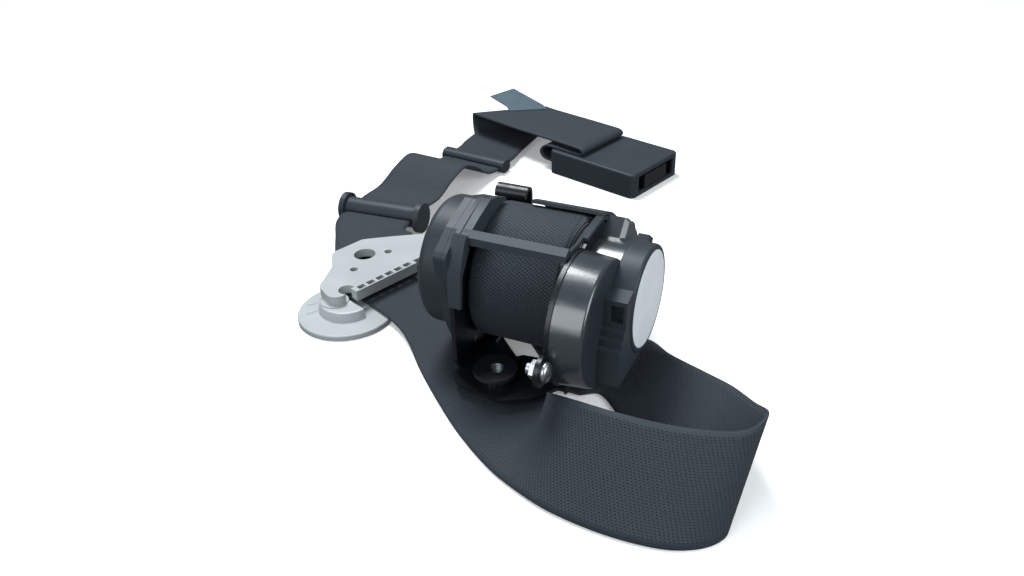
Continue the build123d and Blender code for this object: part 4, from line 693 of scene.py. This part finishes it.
def strap_piece(name, rows, finish, body, thick, width, columns=14):
    """Grid laid through edge pairs in bench millimetres, UV in millimetres, with a Solidify thickness."""
    kept = [rows[0]]
    for row in rows[1:]:
        if max((row[side] - kept[-1][side]).length for side in (0, 1)) > SAME_ROW:
            kept.append(row)
    runs = [[0.0], [0.0]]
    for row, after in zip(kept, kept[1:]):
        for side in (0, 1):
            runs[side].append(runs[side][-1] + (after[side] - row[side]).length)
    last = len(kept) - 1

    def row_and_share(vert):
        """Which row a vertex of the flat grid is in, and its share of the width."""
        return round((vert.co.x + 1) / 2 * last), round((vert.co.y + 1) / 2 * columns) / columns

    shape = bmesh.new()
    bmesh.ops.create_grid(shape, x_segments=last, y_segments=columns, size=1.0)
    uv = shape.loops.layers.uv.new("UVMap")
    for face in shape.faces:
        for corner in face.loops:
            i, share = row_and_share(corner.vert)
            corner[uv].uv = (runs[0][i] * (1 - share) + runs[1][i] * share, share * width)
    for vert in shape.verts:
        i, share = row_and_share(vert)
        vert.co = spot(*(kept[i][0] * (1 - share) + kept[i][1] * share))
    piece = to_object(shape, name, finish, body)
    wall = piece.modifiers.new("thickness", "SOLIDIFY")
    wall.thickness = thick * MM
    wall.offset = 0.0
    wall.use_even_offset = False
    return piece, (runs[0][-1] + runs[1][-1]) / 2


strap, strap_length = strap_piece("webbing_strap", rows, webbing, "base", WEB_T, WEB_WIDTH)
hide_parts("webbing_feed", "webbing_loop", "webbing_lap", "webbing_tail")
print("strap length", round(strap_length), "mm,", len(strap.data.vertices), "vertices")

# %% [markdown]
# The wound webbing is a ring from the same lathe, with a closed outline.  At the drive side the turns have
# shifted as they were wound, so the outline steps down in a slope.  Both ends show the edges of the turns
# as fine rings, a sine of the distance from the spool's axis.  The rings are a bump and also colour:
# painted shade in the gaps between the turns and a painted highlight along each turn's edge.

# %% Shape and ends of the wound webbing
ROLL_R, CORE_R, CORE_GAP = 33.0, 15.0, 0.3
TURN_T, TURN_DEPTH = 1.25, 0.0004
ROLL_OUTLINE = [
    (-HALF, CORE_R + CORE_GAP), (-HALF, ROLL_R - 0.9), (-HALF + 0.5, ROLL_R - 0.15), (-HALF + 1.5, ROLL_R),
    (17.6, ROLL_R), (18.8, ROLL_R - 0.4), (19.6, ROLL_R - 2.0), (21.2, ROLL_R - 4.4), (22.6, ROLL_R - 7.0),
    (23.4, ROLL_R - 9.0), (HALF, CORE_R + CORE_GAP)]


def wound_ends(name):
    finish = Finish(name, Roughness=0.7)
    _, y, z = finish.axes("Object")
    y = y - SPOOL_Y * MM
    z = z - (FLOOR_Z + SPOOL_HEIGHT) * MM
    far = (y * y + z * z).root()
    ring_relief_and_painted_light = ((far / (TURN_T * MM) + finish.noise(55.0, 2.0) * 0.8) * pi).sin().abs()
    # Painted shade and highlight: near black in the gaps between the turns, and lighter than the strap's yarn along
    # each turn's edge.
    finish.set(Base_Color=finish.mix(ring_relief_and_painted_light, (0.004, 0.005, 0.006), (0.055, 0.070, 0.085)), Sheen_Weight=0.3)
    finish.bump(ring_relief_and_painted_light, TURN_DEPTH, 0.8)
    return finish.material


shape = lathe_shape(ROLL_OUTLINE, (0, 0, SPOOL_HEIGHT), (1, 0, 0), (0, 0, 1), 120, closed=True)
print("roll faces:", len(shape.faces))

# %% [markdown]
# The roll's face takes the same weave as the strap, so its UV map is wrapped in millimetres too: u is the
# angle times the radius, taken from each face's own middle, so that no face spans the seam.  Faces well
# inside the outer radius take the finish of the ends.

# %% Wrap the weave round the roll
uv = shape.loops.layers.uv.new("UVMap")
centre = spot(0, 0, SPOOL_HEIGHT)
for face in shape.faces:
    middle = face.calc_center_median() - centre
    face_turn = atan2(middle.y, middle.z)
    face.material_index = 0 if hypot(middle.y, middle.z) > (ROLL_R - 1.0) * MM else 1
    for corner in face.loops:
        place = corner.vert.co - centre
        turn = face_turn + (atan2(place.y, place.z) - face_turn + pi) % (2 * pi) - pi
        corner[uv].uv = (turn * ROLL_R, place.x / MM + HALF)
roll = to_object(shape, "wound_webbing", [webbing, wound_ends("webbing_turn_ends")], "spool_body")
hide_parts("webbing_roll")
print("roll finishes:", [material.name for material in roll.data.materials])

# %% [markdown]
# The strap rests on the bench, in the guide, in the tongue, in the clip and on the connector.
